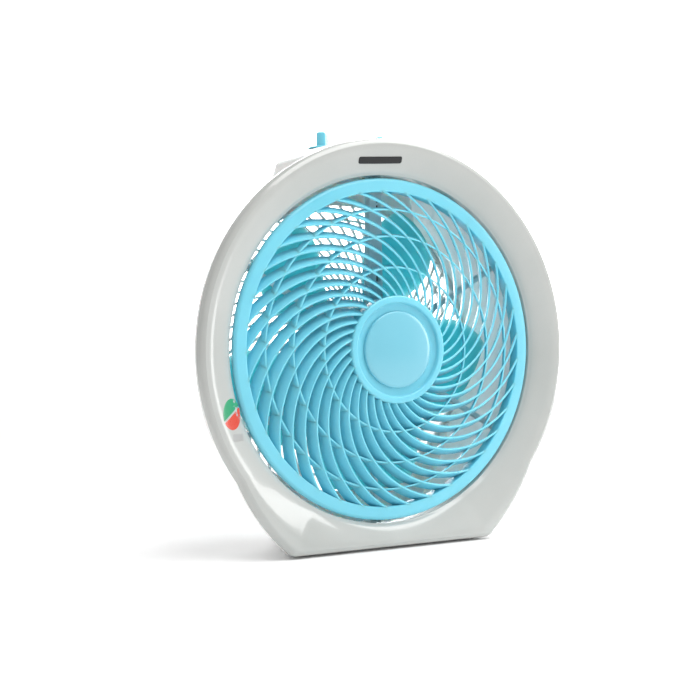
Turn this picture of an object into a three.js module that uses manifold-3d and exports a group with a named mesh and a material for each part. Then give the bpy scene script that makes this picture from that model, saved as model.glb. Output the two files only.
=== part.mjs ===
// A 12-inch box fan with a turning front grille, as an assembly of separate pieces.
// Millimetres, +Z up. The fan blows towards -Y. The origin is under the middle of the base.
import * as THREE from "three";
import { mergeVertices } from "three/addons/utils/BufferGeometryUtils.js";
import Module from "manifold-3d";

const wasm = await Module();
wasm.setup();

const DEG = Math.PI / 180;

// ---------------------------------------------------------------- driving dimensions
// Clearances
const seatGap = 0.3; // between pieces that rest on each other
const slipGap = 0.4; // around a shaft or a screw in its hole
const rimGap = 3; // between the turning grille and the bezel

// Turning grille
const grilleRadius = 165;
const grilleRimWidth = 13;
const grilleRimDepth = 12;
const grilleRimRound = 2;
const grilleRimWall = 3;
const grilleRimLip = 6; // depth of the rim's outer edge
const grilleRise = 16; // how far the hub flange stands forward of the rim
const vaneCount = 37;
const vaneSweep = 70 * DEG;
const vanePhase = 4 * DEG;
const vaneThickness = 2;
const vaneDepth = 12.5;
const vaneLean = 28 * DEG;
const vaneSteps = 4;
const rimFaceLag = 0.5 * DEG; // the facets of the rim and the hub are turned to face the vanes' ends
const hubFaceLag = 2.5 * DEG;
const vaneSink = 1.5; // how far a vane's ends run into the hub and the rim
const hoopRadius = 108.4;
const hoopThickness = 1.8;
const hoopDepth = 6;
const hoopSetback = 2;
const flangeRadius = 51.7;
const flangeWidth = 6.7;
const flangeDepth = 14;
const hubWall = 2.5;
const grooveDepth = 4;
const hubBossRadius = 8;
const hubBossLength = 12;
const hubSeatDepth = 1.2; // the ledge that the screw holds against the shaft
const capRadius = 38;
const capRise = 1; // how far the cap stands forward of the flange
const capDome = 2.2;
const grilleShaftRadius = 3;
const grilleMotorRadius = 25;
const grilleMotorLength = 20;
const grilleMotorSetback = 11.5; // between the hub boss and the gear motor

// Support spider
const armCount = 6;
const armWidth = 5;
const armDepth = 8;
const leadArmTopWidth = 13;
const leadArmFootWidth = 17.5;
const leadArmWall = 1.5;
const leadSlots = [
  [66.5, 75],
  [137.8, 141.6],
  [144, 148],
];
const leadSlotWidth = 4.5;
const leadOffset = 2.8; // the lead runs this far right of the middle of its arm
const leadRadius = 1.7;
const supportCupWall = 2;
const supportFloor = 2.5;
const padRadius = 6;
const padThickness = 3;
const padInset = 8; // from the duct wall out to the middle of a pad

// Impeller and main motor
const bladeCount = 5;
const bladePhase = 68.5 * DEG;
const bladeTipInset = 20; // from the grille's edge in to the blade tips
const bladeDepth = 32;
const bladeTipDepth = 42;
const bladeSetback = 17; // from the front of the impeller's hub back to the middle of its blades
const bladeThickness = 2.2;
const bladeCamber = 4;
const bladeHalfSweep = 27 * DEG;
const bladeSkew = 10 * DEG; // the tip leans this far towards the turning direction
const bladeRootSink = 2;
const impellerHubRadius = 42;
const impellerHubWall = 3;
const impellerHubDepth = 30;
const supportToNut = 5;
const nutRadius = 11;
const nutLength = 9;
const fanShaftRadius = 4;
const motorRadius = 37;
const motorWall = 2;
const motorLength = 50;
const stackLength = 16;
const windingLength = 8;
const rotorRadius = 19;
const rotorGap = 0.8;
const bushRadius = 7;
const bushLength = 9;
const motorToHub = 3;
const motorScrewCircle = 27;
const motorScrewCount = 4;
const motorScrewLength = 7;

// Rear guard
const slatCount = 40;
const slatPitchAngle = 38 * DEG; // between a slat and the radius
const slatThickness = 1.8;
const slatDepth = 4;
const slatSetback = 1; // behind the rear faces of the plate and the rim
const slatSteps = 3;
const guardPlateRadius = 47;
const guardPlateThickness = 6;
const guardRimWidth = 4;
const guardLip = 4; // width of the shell around the guard's opening
const guardRimDepth = 6;
const guardDome = 13;

// Housing
const bezelWidth = 34;
const bezelBulge = 11; // how far the bezel's front stands forward of the grille rim
const bezelSide = 10;
const housingWall = 2.5;
const baseLift = 12; // how far the base lies above the foot of the bezel's circle
const baseHalfWidth = 116;
const baseCorner = 9;
const ductDepth = 20;
const shellFlange = 6;
const shellTaper = 34 * DEG;
const tipClearance = 13; // between the blade tips and the shell
const rearBaseHalfWidth = 70;
const shellRearRound = 3;
const shellRearDraft = 1.5;
const outlineArcSteps = 36;
const outlineSideSteps = 4;
const outlineCornerSteps = 3;
const outlineBaseSteps = 6;
const shellScrewAngles = [5, 50, 130, 175, 222, 318];
const shellScrewInset = 17;
const shellScrewReach = 14; // from the parting line to where a boss meets its tube
const tubeFloor = 4;
const screwHeadRadius = 4;
const screwHeadHeight = 2.4;
const screwShankRadius = 1.8;
const screwBossRadius = 6;
const screwGrip = 12; // length of shank in the boss

// Controls on the deck
const deckInset = 3; // from the top of the bezel's circle down to the deck
const deckHalfWidth = 77;
const deckFlatHalf = 42;
const deckEndDrop = 9; // from the deck down to its shoulders
const deckEndRound = 10;
const deckBend = 10; // how far out of the flat the deck's curve aims
const deckReach = 79; // from the deck down to where it has sunk into the shell
const knobSpacing = 69;
const knobSetback = 74; // from the parting line back to the knobs
const knobSkirtRadius = 15;
const knobSkirtHeight = 2.5;
const knobHeight = 16.5;
const knobGripRadius = 10.5;
const knobGripWidth = 9.5;
const knobRecess = 12; // depth of the shaft's bore
const knobLift = 0.8; // between the deck and the knobs
const controlShaftRadius = 3;
const speedKnobTurn = -38 * DEG;
const timerKnobTurn = -50 * DEG;
const switchSize = [30, 24, 18];
const timerSize = [30, 30, 21];
const controlNeckRadius = 6;
const controlNeckHeight = 2; // a control's neck, between its body and the deck
const capacitorSize = [28, 14, 22];
const capacitorX = -22;
const capacitorSetForward = 40; // from the knobs forward to the capacitor
const terminalSize = [22, 12, 10];

// Base
const footHeight = 2;
const footRadius = 8;
const footSeat = 1.5;
const footInset = 14;
const cordInletRadius = 6;
const cordInletBore = 3.6;
const cordInletFlange = 2;
const cordInletLength = 9;
const cordInletX = -60;
const cordInletLift = 25; // above the base

// ---------------------------------------------------------------- derived places along Y
// Each is measured back from the cap's face; alongY() turns it into a place on the Y axis.
const hubFrontY = capRise;
const ringFrontY = hubFrontY + grilleRise;
const supportCupFrontY = hubFrontY + hubWall + grooveDepth + hubBossLength + grilleMotorSetback;
const supportBackY = supportCupFrontY + grilleMotorLength + seatGap + supportFloor;
const leadArmFrontY = supportBackY - armDepth - leadArmWall;
const leadY = supportBackY - supportFloor - leadRadius - slipGap * 2;
const impellerFrontY = supportBackY + supportToNut + nutLength + seatGap;
const motorFrontY = impellerFrontY + impellerHubWall + motorToHub;
const motorBackY = motorFrontY + motorLength;
const guardBackY = motorBackY + seatGap + guardPlateThickness;
const totalDepth = guardBackY;

/** A distance back from the cap's face, as a place on the Y axis. */
const alongY = (fromFront) => fromFront - totalDepth / 2;

const ductRadius = grilleRadius + rimGap;
const bezelRadius = ductRadius + bezelWidth;
const baseDrop = bezelRadius - baseLift; // from the fan's axis to the base
const deckHeight = bezelRadius - deckInset; // above the fan's axis
const bladeTipRadius = grilleRadius - bladeTipInset;
const cordInletDrop = baseDrop - cordInletLift;
const grilleRimInner = grilleRadius - grilleRimWidth;
const bezelLipY = ringFrontY + grilleRimRound;
const bezelFrontY = ringFrontY - bezelBulge;
const partingY = bezelFrontY + bezelSide;
const ductBackY = bezelLipY + ductDepth;
const padY = ductBackY + seatGap;
const shellBackRadius = bladeTipRadius + tipClearance;
const shellBackY = guardBackY - guardDome;
const guardRadius = shellBackRadius - shellRearRound - guardLip;
// The guard's rim, and its opening in the shell, have facets turned to face the slats' ends.
const guardRimTurn = Math.tan(slatPitchAngle) * Math.log((guardRadius - guardRimWidth) / guardPlateRadius);
const centreHeight = baseDrop + footHeight;
const padCircle = ductRadius + padInset;
const shellScrewCircle = bezelRadius - shellScrewInset;
const knobY = partingY + knobSetback;
const deckFrontY = partingY + shellFlange;
const deckBackY = shellBackY;
const deckUnder = deckHeight - housingWall - seatGap; // the top of what hangs under the deck
const shellTubeY = partingY + shellScrewReach + seatGap;
const motorScrewSeatY = guardBackY - screwHeadHeight - seatGap * 2;

/** Places on a circle about the fan's axis, from angles in radians. */
const circlePlaces = (radius, angles) =>
  angles.map((angle) => ({ x: radius * Math.cos(angle), z: radius * Math.sin(angle) }));
const armAngles = Array.from({ length: armCount }, (_, i) => Math.PI / 2 + (i * 2 * Math.PI) / armCount);
const motorScrewAngles = Array.from(
  { length: motorScrewCount },
  (_, i) => ((i + 0.5) * 2 * Math.PI) / motorScrewCount,
);
const supportScrewPlaces = circlePlaces(padCircle, armAngles);
const motorScrewPlaces = circlePlaces(motorScrewCircle, motorScrewAngles);
const shellScrewPlaces = circlePlaces(
  shellScrewCircle,
  shellScrewAngles.map((degrees) => degrees * DEG),
);

// ---------------------------------------------------------------- materials
/** One moulded or metal finish. */
function finish(color, roughness, metalness = 0) {
  return new THREE.MeshStandardMaterial({ color, roughness, metalness });
}
const materials = {
  whiteGloss: finish(0xe6e8e4, 0.22),
  whiteSatin: finish(0xeceeec, 0.4),
  blue: finish(0x7fd0e6, 0.35),
  blueCap: finish(0x8ad4ea, 0.25),
  grey: finish(0x8f9a9c, 0.5),
  black: finish(0x151515, 0.6),
  steel: finish(0xa9adb0, 0.35, 0.9),
  zinc: finish(0xc4c7c9, 0.3, 0.9),
  lamination: finish(0x6d7276, 0.5, 0.7),
  copper: finish(0xb5653a, 0.4, 0.8),
  bronze: finish(0xb98b4a, 0.4, 0.8),
  cover: finish(0x9aa0a4, 0.45, 0.6),
  electrical: finish(0xd9d6cc, 0.5),
  rubber: finish(0x2a2b2d, 0.85),
};

// ---------------------------------------------------------------- solids
/** A closed three.js geometry as a manifold-3d solid. */
function solid(geometry) {
  const bare = geometry.clone();
  bare.deleteAttribute("normal");
  bare.deleteAttribute("uv");
  const merged = mergeVertices(bare, 1e-4);
  return new wasm.Manifold(
    new wasm.Mesh({
      numProp: 3,
      vertProperties: new Float32Array(merged.attributes.position.array),
      triVerts: new Uint32Array(merged.index.array),
    }),
  );
}

/** A manifold-3d solid as a three.js geometry. */
function geometryOf(made) {
  const mesh = made.getMesh();
  const geometry = new THREE.BufferGeometry();
  geometry.setAttribute("position", new THREE.BufferAttribute(mesh.vertProperties, 3));
  geometry.setIndex(new THREE.BufferAttribute(mesh.triVerts, 1));
  const shown = geometry.toNonIndexed();
  shown.computeVertexNormals();
  return shown;
}

/** The first geometry with the others joined to it. */
function join(first, ...others) {
  return geometryOf(others.reduce((made, next) => made.add(solid(next)), solid(first)));
}

/** The first geometry with the others cut away. */
function cut(first, ...others) {
  return geometryOf(others.reduce((made, next) => made.subtract(solid(next)), solid(first)));
}

/** What two geometries have in common. */
function common(first, second) {
  return geometryOf(solid(first).intersect(solid(second)));
}

/** Six times the signed volume of an indexed triangle list. */
function signedVolume(points, index) {
  let sum = 0;
  for (let i = 0; i < index.length; i += 3) {
    const [a, b, c] = [points[index[i]], points[index[i + 1]], points[index[i + 2]]];
    sum += a.dot(new THREE.Vector3().crossVectors(b, c));
  }
  return sum;
}

/** A solid skinned over cross-sections with equal, even numbers of points. */
function loft(sections, closed = false) {
  const sides = sections[0].length;
  const rows = sections.length;
  const points = sections.flat();
  const index = [];
  const quad = (a, b, c, d) => index.push(a, b, c, a, c, d);
  for (let row = 0; row < (closed ? rows : rows - 1); row++) {
    const here = row * sides;
    const next = ((row + 1) % rows) * sides;
    for (let side = 0; side < sides; side++) {
      const after = (side + 1) % sides;
      quad(here + side, here + after, next + after, next + side);
    }
  }
  if (!closed) {
    const last = (rows - 1) * sides;
    for (let rung = 0; rung < sides / 2 - 1; rung++) {
      quad(sides - 1 - rung, sides - 2 - rung, rung + 1, rung);
      quad(last + rung, last + rung + 1, last + sides - 2 - rung, last + sides - 1 - rung);
    }
  }
  if (signedVolume(points, index) < 0) index.reverse();
  const geometry = new THREE.BufferGeometry().setFromPoints(points);
  geometry.setIndex(index);
  return geometry;
}

/** A turned solid about the Y axis from [radius, y] pairs. */
function turned(profile, segments = 48) {
  const points = profile.map(([radius, y]) => new THREE.Vector2(radius, y));
  const area = points.reduce((sum, p, i) => {
    const q = points[(i + 1) % points.length];
    return sum + p.x * q.y - q.x * p.y;
  }, 0);
  const outward = area > 0 ? points : points.reverse();
  const closes = outward[0].x > 0;
  return new THREE.LatheGeometry(closes ? [...outward, outward[0]] : outward, segments);
}

/** Turns a lathe solid about the Y axis so that the middle of a facet lies at an angle. */
function faceOn(geometry, segments, angle) {
  return geometry.rotateY(Math.PI / 2 - angle - Math.PI / segments);
}

/** A cylinder along Y between two places. */
function rod(radius, fromY, toY, x = 0, z = 0, segments = 16) {
  const geometry = new THREE.CylinderGeometry(radius, radius, toY - fromY, segments);
  return geometry.translate(x, (fromY + toY) / 2, z);
}

/** A ring about the Y axis between two places. */
function ring(inner, outer, fromY, toY, segments = 48) {
  const profile = [
    [inner, fromY],
    [outer, fromY],
    [outer, toY],
    [inner, toY],
  ];
  return turned(profile, segments);
}

/** A box from its middle and its size. */
function box(size, x, y, z) {
  return new THREE.BoxGeometry(...size).translate(x, y, z);
}

/** A flat XZ shape given depth along Y between two places. */
function slab(shape, fromY, toY, curveSegments = 8) {
  const geometry = new THREE.ExtrudeGeometry(shape, {
    depth: toY - fromY,
    bevelEnabled: false,
    curveSegments,
  });
  return geometry.rotateX(Math.PI / 2).translate(0, toY, 0);
}

/** A place at a radius and an angle about the fan's axis. */
function polar(radius, angle, y = 0) {
  return new THREE.Vector3(radius * Math.cos(angle), y, radius * Math.sin(angle));
}

const fan = new THREE.Group();
fan.position.z = centreHeight;

/** Adds one piece to the fan. */
function addPiece(name, geometry, material) {
  const mesh = new THREE.Mesh(geometry, material);
  mesh.name = name;
  fan.add(mesh);
  return mesh;
}

// ---------------------------------------------------------------- housing outline
/**
 * The housing's outline seen from the front: a round top, straight sides that touch it, and a
 * flat base with rounded corners. Every call gives the same number of points, in the same order.
 */
function housingOutline(radius, halfWidth, drop, corner) {
  const centre = new THREE.Vector2(halfWidth - corner, corner - drop);
  const lean = centre.angle() + Math.acos((radius - corner) / centre.length());
  const tangent = lean - 2 * Math.PI;
  const right = [];
  for (let i = 0; i <= outlineBaseSteps / 2; i++) {
    right.push(new THREE.Vector2((centre.x * 2 * i) / outlineBaseSteps, -drop));
  }
  for (let i = 1; i <= outlineCornerSteps; i++) {
    const angle = -Math.PI / 2 + ((tangent + Math.PI / 2) * i) / outlineCornerSteps;
    right.push(new THREE.Vector2(Math.cos(angle), Math.sin(angle)).multiplyScalar(corner).add(centre));
  }
  const from = right.at(-1);
  const to = new THREE.Vector2(Math.cos(tangent), Math.sin(tangent)).multiplyScalar(radius);
  for (let i = 1; i <= outlineSideSteps; i++) {
    right.push(from.clone().lerp(to, i / outlineSideSteps));
  }
  for (let i = 1; i <= outlineArcSteps / 2; i++) {
    const angle = tangent + ((Math.PI / 2 - tangent) * i * 2) / outlineArcSteps;
    right.push(new THREE.Vector2(Math.cos(angle), Math.sin(angle)).multiplyScalar(radius));
  }
  const left = right.slice(1, -1).reverse();
  return [...right, ...left.map((point) => new THREE.Vector2(-point.x, point.y))];
}

/** A solid through housing outlines given as [y, radius, half width, drop, corner]. */
function housingBody(stations) {
  const sections = stations.map(([y, ...sizes]) =>
    housingOutline(...sizes).map((point) => new THREE.Vector3(point.x, y, point.y)),
  );
  return loft(sections);
}

// ---------------------------------------------------------------- front bezel
/** The bezel's front face, blended from the round duct (0) to the outline (1): [blend, offset, y]. */
function bezelFace() {
  const bulge = bezelLipY - bezelFrontY;
  return [
    [0, 0, bezelLipY + 1],
    [0, 1, bezelLipY],
    [0.3, 0, bezelLipY - bulge * 0.52],
    [0.62, 0, bezelLipY - bulge * 0.88],
    [1, -6, bezelFrontY],
    [1, -1.8, bezelFrontY + 2],
    [1, 0, bezelFrontY + 6],
  ];
}

/** The bezel's whole section: its face, its side and duct, and the inside of its wall. */
function bezelProfile() {
  const bulge = bezelLipY - bezelFrontY;
  return [
    [0, 0, ductBackY],
    ...bezelFace(),
    [1, 0, partingY],
    [1, -housingWall, partingY],
    [1, -housingWall, bezelFrontY + 7],
    [1, -7, bezelFrontY + housingWall],
    [0.4, 0, bezelLipY - bulge * 0.64 + housingWall * 1.2],
    [0, housingWall, bezelLipY + housingWall * 1.4],
    [0, housingWall, ductBackY],
  ];
}

/** A closed ring skinned over one section that follows the housing's outline. */
function outlineRing(profile) {
  const outline = housingOutline(bezelRadius, baseHalfWidth, baseDrop, baseCorner);
  const sections = outline.map((rim) => {
    const direction = rim.clone().normalize();
    return profile.map(([blend, offset, y]) => {
      const radius = THREE.MathUtils.lerp(ductRadius, rim.length(), blend) + offset;
      return new THREE.Vector3(direction.x * radius, alongY(y), direction.y * radius);
    });
  });
  return loft(sections, true);
}

/** The glossy front shell, its duct and its screw bosses. */
function frontBezel() {
  const bosses = [];
  const bores = [];
  const addBoss = ({ x, z }, radius, endY) => {
    bosses.push(rod(radius, alongY(bezelFrontY), alongY(endY), x, z, 8));
    bores.push(rod(screwShankRadius + slipGap, alongY(endY - screwGrip), alongY(endY + 1), x, z, 6));
  };
  for (const place of supportScrewPlaces) addBoss(place, padRadius - 1, ductBackY);
  for (const place of shellScrewPlaces) addBoss(place, screwBossRadius - 1, partingY + shellScrewReach);
  const face = bezelFace().map(([blend, offset, y]) => [blend, offset, y + housingWall / 2]);
  const inFront = outlineRing([
    ...face,
    [1, housingWall, bezelFrontY + 6],
    [1, housingWall, bezelFrontY - bezelBulge],
    [0, 0, bezelFrontY - bezelBulge],
  ]);
  const inside = bosses.map((boss) => cut(boss, inFront));
  return cut(join(outlineRing(bezelProfile()), ...inside), ...bores);
}

// ---------------------------------------------------------------- rear shell
/** The outline of the deck that carries the knobs, shrunk by a wall. */
function deckShape(inset) {
  const half = deckHalfWidth - inset;
  const top = deckHeight - inset;
  const shoulder = deckHeight - deckEndDrop - inset;
  const foot = deckHeight - deckReach;
  const shape = new THREE.Shape();
  shape.moveTo(-half, foot);
  shape.lineTo(half, foot);
  shape.lineTo(half, shoulder - deckEndRound);
  shape.quadraticCurveTo(half, shoulder - 2, half - deckEndRound, shoulder);
  shape.quadraticCurveTo(deckFlatHalf + deckBend, top, deckFlatHalf, top);
  shape.lineTo(-deckFlatHalf, top);
  shape.quadraticCurveTo(-deckFlatHalf - deckBend, top, -half + deckEndRound, shoulder);
  shape.quadraticCurveTo(-half, shoulder - 2, -half, shoulder - deckEndRound);
  return shape;
}

/** The tapering body of the rear shell, shrunk by a wall on every side but the front. */
function shellBody(inset, front) {
  const taperStartY = partingY + shellFlange;
  const taperEndY = taperStartY + (bezelRadius - 1 - shellBackRadius) / Math.tan(shellTaper);
  const roundY = shellBackY - shellRearRound;
  const drop = baseDrop - inset;
  const corner = baseCorner - inset / 2;
  const at = (y, radius, half) => [alongY(y), radius - inset, half - inset, drop, corner];
  return housingBody([
    at(front, bezelRadius - 0.5, baseHalfWidth),
    at(taperStartY, bezelRadius - 1, baseHalfWidth - 1),
    at(taperEndY, shellBackRadius, rearBaseHalfWidth + 4),
    at(roundY, shellBackRadius - shellRearDraft, rearBaseHalfWidth + 1),
    at(shellBackY - inset, shellBackRadius - shellRearRound, rearBaseHalfWidth - 1),
  ]);
}

/** The rear shell with its deck, screw tubes, feet pockets and rear opening. */
function rearShell() {
  const front = partingY + seatGap;
  const outer = join(
    shellBody(0, front),
    slab(deckShape(0), alongY(deckFrontY), alongY(deckBackY)),
  );
  const deckHollow = slab(
    deckShape(housingWall),
    alongY(deckFrontY + housingWall),
    alongY(deckBackY - housingWall),
  );
  const hollow = join(shellBody(housingWall, front - 1), deckHollow);
  const tubes = [];
  const bores = [];
  const footY = alongY(shellTubeY);
  const farY = alongY(shellBackY);
  for (const { x, z } of shellScrewPlaces) {
    tubes.push(rod(screwBossRadius, footY, farY, x, z, 8));
    bores.push(rod(screwHeadRadius + slipGap, footY + tubeFloor, farY, x, z, 8));
    bores.push(rod(screwShankRadius + slipGap, footY - 1, footY + tubeFloor + 1, x, z, 8));
  }
  const skin = cut(outer, hollow);
  const withTubes = join(skin, ...tubes.map((tube) => common(tube, outer)));
  const knobHoles = [-1, 1].map((side) => {
    const hole = new THREE.CylinderGeometry(controlShaftRadius + 1, controlShaftRadius + 1, 12, 12);
    return hole.rotateX(Math.PI / 2).translate((side * knobSpacing) / 2, alongY(knobY), deckHeight - 2);
  });
  const wayFront = farY - guardRimDepth - cordInletLength;
  const wayBack = farY + guardDome;
  const opening = rod(guardRadius + seatGap, wayFront, wayBack, 0, 0, slatCount);
  faceOn(opening, slatCount, guardRimTurn);
  const inlet = rod(cordInletRadius + seatGap, wayFront, wayBack, cordInletX, -cordInletDrop);
  return cut(withTubes, ...bores, ...knobHoles, opening, inlet, ...footPlaces().map(footPocket));
}

// ---------------------------------------------------------------- turning grille
/** How far back the grille's front edge lies at a radius, from the hub's crown to the rim. */
function grilleDome(radius) {
  const span = (radius - flangeRadius) / (grilleRimInner - flangeRadius);
  return hubFrontY + 1.3 + (grilleRise - 0.8) * Math.max(span, 0) ** 1.7;
}

/** A vane's turn at a radius, and the direction across it, from the turn of its foot. */
function vaneCourse(turn, radius) {
  const span = grilleRimInner - flangeRadius;
  const angle = turn + (vaneSweep * (radius - flangeRadius)) / span;
  const across = polar(1, angle - Math.PI / 2 + Math.atan((radius * vaneSweep) / span));
  return { angle, across };
}

/** A place in the middle of a vane's thickness, at a radius and a depth behind its front edge. */
function vaneMiddle(turn, radius, depth) {
  const { angle, across } = vaneCourse(turn, radius);
  const place = polar(radius, angle, alongY(grilleDome(radius) + depth));
  return place.addScaledVector(across, depth * Math.tan(vaneLean));
}

/** One spiral vane: its front edge on the dome, its back edge leaning outwards. */
function grilleVane(turn) {
  const sections = [];
  for (let i = 0; i <= vaneSteps; i++) {
    const share = i / vaneSteps;
    const radius = THREE.MathUtils.lerp(flangeRadius - vaneSink, grilleRimInner + vaneSink, share);
    const half = vaneCourse(turn, radius).across.multiplyScalar(vaneThickness / 2);
    const front = vaneMiddle(turn, radius, 0);
    const back = vaneMiddle(turn, radius, vaneDepth);
    sections.push([
      front.clone().sub(half),
      front.clone().add(half),
      back.clone().add(half),
      back.clone().sub(half),
    ]);
  }
  return loft(sections);
}

/** The stiffening hoop, behind the vanes' front edges. */
function grilleHoop() {
  const front = grilleDome(hoopRadius) + hoopSetback;
  const half = hoopThickness / 2;
  return ring(hoopRadius - half, hoopRadius + half, alongY(front), alongY(front + hoopDepth), vaneCount);
}

/** The rim, vanes, hoop and hub of the turning grille. */
function swingGrille() {
  const rim = turned(
    [
      [grilleRimInner, alongY(ringFrontY)],
      [grilleRadius - grilleRimRound, alongY(ringFrontY)],
      [grilleRadius, alongY(ringFrontY + grilleRimRound)],
      [grilleRadius, alongY(ringFrontY + grilleRimLip)],
      [grilleRadius - 2.5, alongY(ringFrontY + grilleRimLip)],
      [grilleRadius - 3, alongY(ringFrontY + grilleRimWall)],
      [grilleRimInner + 2.5, alongY(ringFrontY + grilleRimWall)],
      [grilleRimInner + 2, alongY(ringFrontY + grilleRimDepth)],
      [grilleRimInner, alongY(ringFrontY + grilleRimDepth)],
    ],
    vaneCount,
  );
  faceOn(rim, vaneCount, vanePhase + vaneSweep - rimFaceLag);
  const grooveY = hubFrontY + grooveDepth;
  const floorY = grooveY + hubWall;
  const hub = turned(
    [
      [flangeRadius - 1, alongY(hubFrontY)],
      [flangeRadius, alongY(hubFrontY + 1)],
      [flangeRadius, alongY(hubFrontY + flangeDepth)],
      [flangeRadius - hubWall, alongY(hubFrontY + flangeDepth)],
      [flangeRadius - hubWall, alongY(floorY)],
      [hubBossRadius - 1, alongY(floorY)],
      [hubBossRadius - 1, alongY(grooveY)],
      [flangeRadius - flangeWidth, alongY(grooveY)],
      [flangeRadius - flangeWidth, alongY(hubFrontY + 0.8)],
      [flangeRadius - flangeWidth + 0.8, alongY(hubFrontY)],
    ],
    vaneCount,
  );
  faceOn(hub, vaneCount, vanePhase - hubFaceLag);
  const bossY = floorY + hubBossLength;
  const boss = turned(
    [
      [screwShankRadius + slipGap, alongY(grooveY)],
      [hubBossRadius, alongY(grooveY)],
      [hubBossRadius, alongY(bossY)],
      [grilleShaftRadius + slipGap, alongY(bossY)],
      [grilleShaftRadius + slipGap, alongY(grooveY + hubSeatDepth)],
      [screwShankRadius + slipGap, alongY(grooveY + hubSeatDepth)],
    ],
    16,
  );
  const pieces = [grilleHoop()];
  for (let i = 0; i < vaneCount; i++) {
    const turn = vanePhase + (i * 2 * Math.PI) / vaneCount;
    pieces.push(grilleVane(turn));
  }
  return join(rim, ...pieces, hub, boss);
}

/** The domed cap in the grille's hub, hollowed over the screw. */
function grilleCap() {
  const backY = alongY(hubFrontY + grooveDepth - seatGap);
  const faceY = alongY(0);
  const hollow = screwHeadRadius + 3;
  const hollowY = backY - screwHeadHeight - 0.6;
  return turned([
    [0, faceY],
    [capRadius * 0.5, faceY + capDome * 0.25],
    [capRadius - 1.5, faceY + capDome * 0.85],
    [capRadius, faceY + capDome * 1.2],
    [capRadius, backY],
    [hollow, backY],
    [hollow, hollowY],
    [0, hollowY],
  ], 36);
}

/** A pan-head screw along Y, its head's seat at seatY; side is -1 when the head faces the front. */
function panScrew(seatY, length, side) {
  const bevel = 0.7;
  const profile = [
    [0, length],
    [screwShankRadius, length],
    [screwShankRadius, 0],
    [screwHeadRadius, 0],
    [screwHeadRadius, -screwHeadHeight + bevel],
    [screwHeadRadius - 1.2, -screwHeadHeight],
    [0, -screwHeadHeight],
  ];
  return turned(
    profile.map(([radius, y]) => [radius, alongY(seatY) - y * side]),
    8,
  );
}

// ---------------------------------------------------------------- support spider
/** One narrow arm with the pad that it is screwed down by, turned to its place. */
function narrowArm(angle) {
  const cupRadius = grilleMotorRadius + seatGap + supportCupWall;
  const length = padCircle - cupRadius + 1;
  const armY = alongY(supportBackY) - armDepth / 2;
  const arm = box([length, armDepth, armWidth], cupRadius - 1 + length / 2, armY, 0);
  return join(arm, armPad(supportBackY)).rotateY(-angle);
}

/** The round pad at the end of an arm, lying along +X, with the foot that joins it to the arm. */
function armPad(footBackY) {
  const reach = padCircle - (ductRadius - 4);
  const depth = footBackY - padY;
  const foot = box([reach, depth, armWidth], padCircle - reach / 2, alongY(padY + depth / 2), 0);
  const pad = rod(padRadius, alongY(padY), alongY(padY + padThickness), padCircle, 0, 12);
  return join(foot, pad);
}

/** The wide arm, hollow at the back for the lead and slotted in front. */
function leadArm() {
  const cupRadius = grilleMotorRadius + supportCupWall;
  const outline = (inset, from, to) => {
    const shape = new THREE.Shape();
    shape.moveTo(from, -leadArmFootWidth / 2 + inset);
    shape.lineTo(to, -leadArmTopWidth / 2 + inset);
    shape.lineTo(to, leadArmTopWidth / 2 - inset);
    shape.lineTo(from, leadArmFootWidth / 2 - inset);
    return shape;
  };
  const frontY = alongY(leadArmFrontY);
  const backY = alongY(supportBackY);
  const bar = slab(outline(0, cupRadius - 0.5, padCircle), frontY, backY);
  const channel = slab(
    outline(leadArmWall, grilleMotorRadius + 1, padCircle + 20),
    frontY + leadArmWall,
    backY + 1,
  );
  const slots = leadSlots.map(([from, to]) =>
    box([to - from, 8, leadSlotWidth], (from + to) / 2, frontY, -leadOffset),
  );
  return cut(bar, channel, ...slots).rotateY(-armAngles[0]);
}

/** The grey spider that carries the grille's gear motor in front of the blades. */
function frontSupport() {
  const wallRadius = grilleMotorRadius + seatGap + supportCupWall;
  const cup = turned([
    [0, alongY(supportBackY)],
    [wallRadius, alongY(supportBackY)],
    [wallRadius, alongY(supportCupFrontY + 2)],
    [grilleMotorRadius + seatGap, alongY(supportCupFrontY + 2)],
    [grilleMotorRadius + seatGap, alongY(supportBackY - supportFloor)],
    [0, alongY(supportBackY - supportFloor)],
  ], 30);
  const arms = armAngles.slice(1).map(narrowArm);
  const topPad = armPad(leadArmFrontY + leadArmWall).rotateY(-armAngles[0]);
  const body = join(cup, leadArm(), topPad, ...arms);
  const bores = [];
  for (const { x, z } of supportScrewPlaces) {
    bores.push(rod(screwShankRadius + slipGap, alongY(padY - 1), alongY(supportBackY + 30), x, z, 8));
    bores.push(rod(screwHeadRadius + slipGap, alongY(padY + padThickness), alongY(supportBackY + 30), x, z, 8));
  }
  const leadWay = new THREE.CylinderGeometry(leadRadius + slipGap, leadRadius + slipGap, 14, 8);
  leadWay.rotateX(Math.PI / 2).translate(leadOffset, alongY(leadY), grilleMotorRadius);
  return cut(body, ...bores, leadWay);
}

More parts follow.
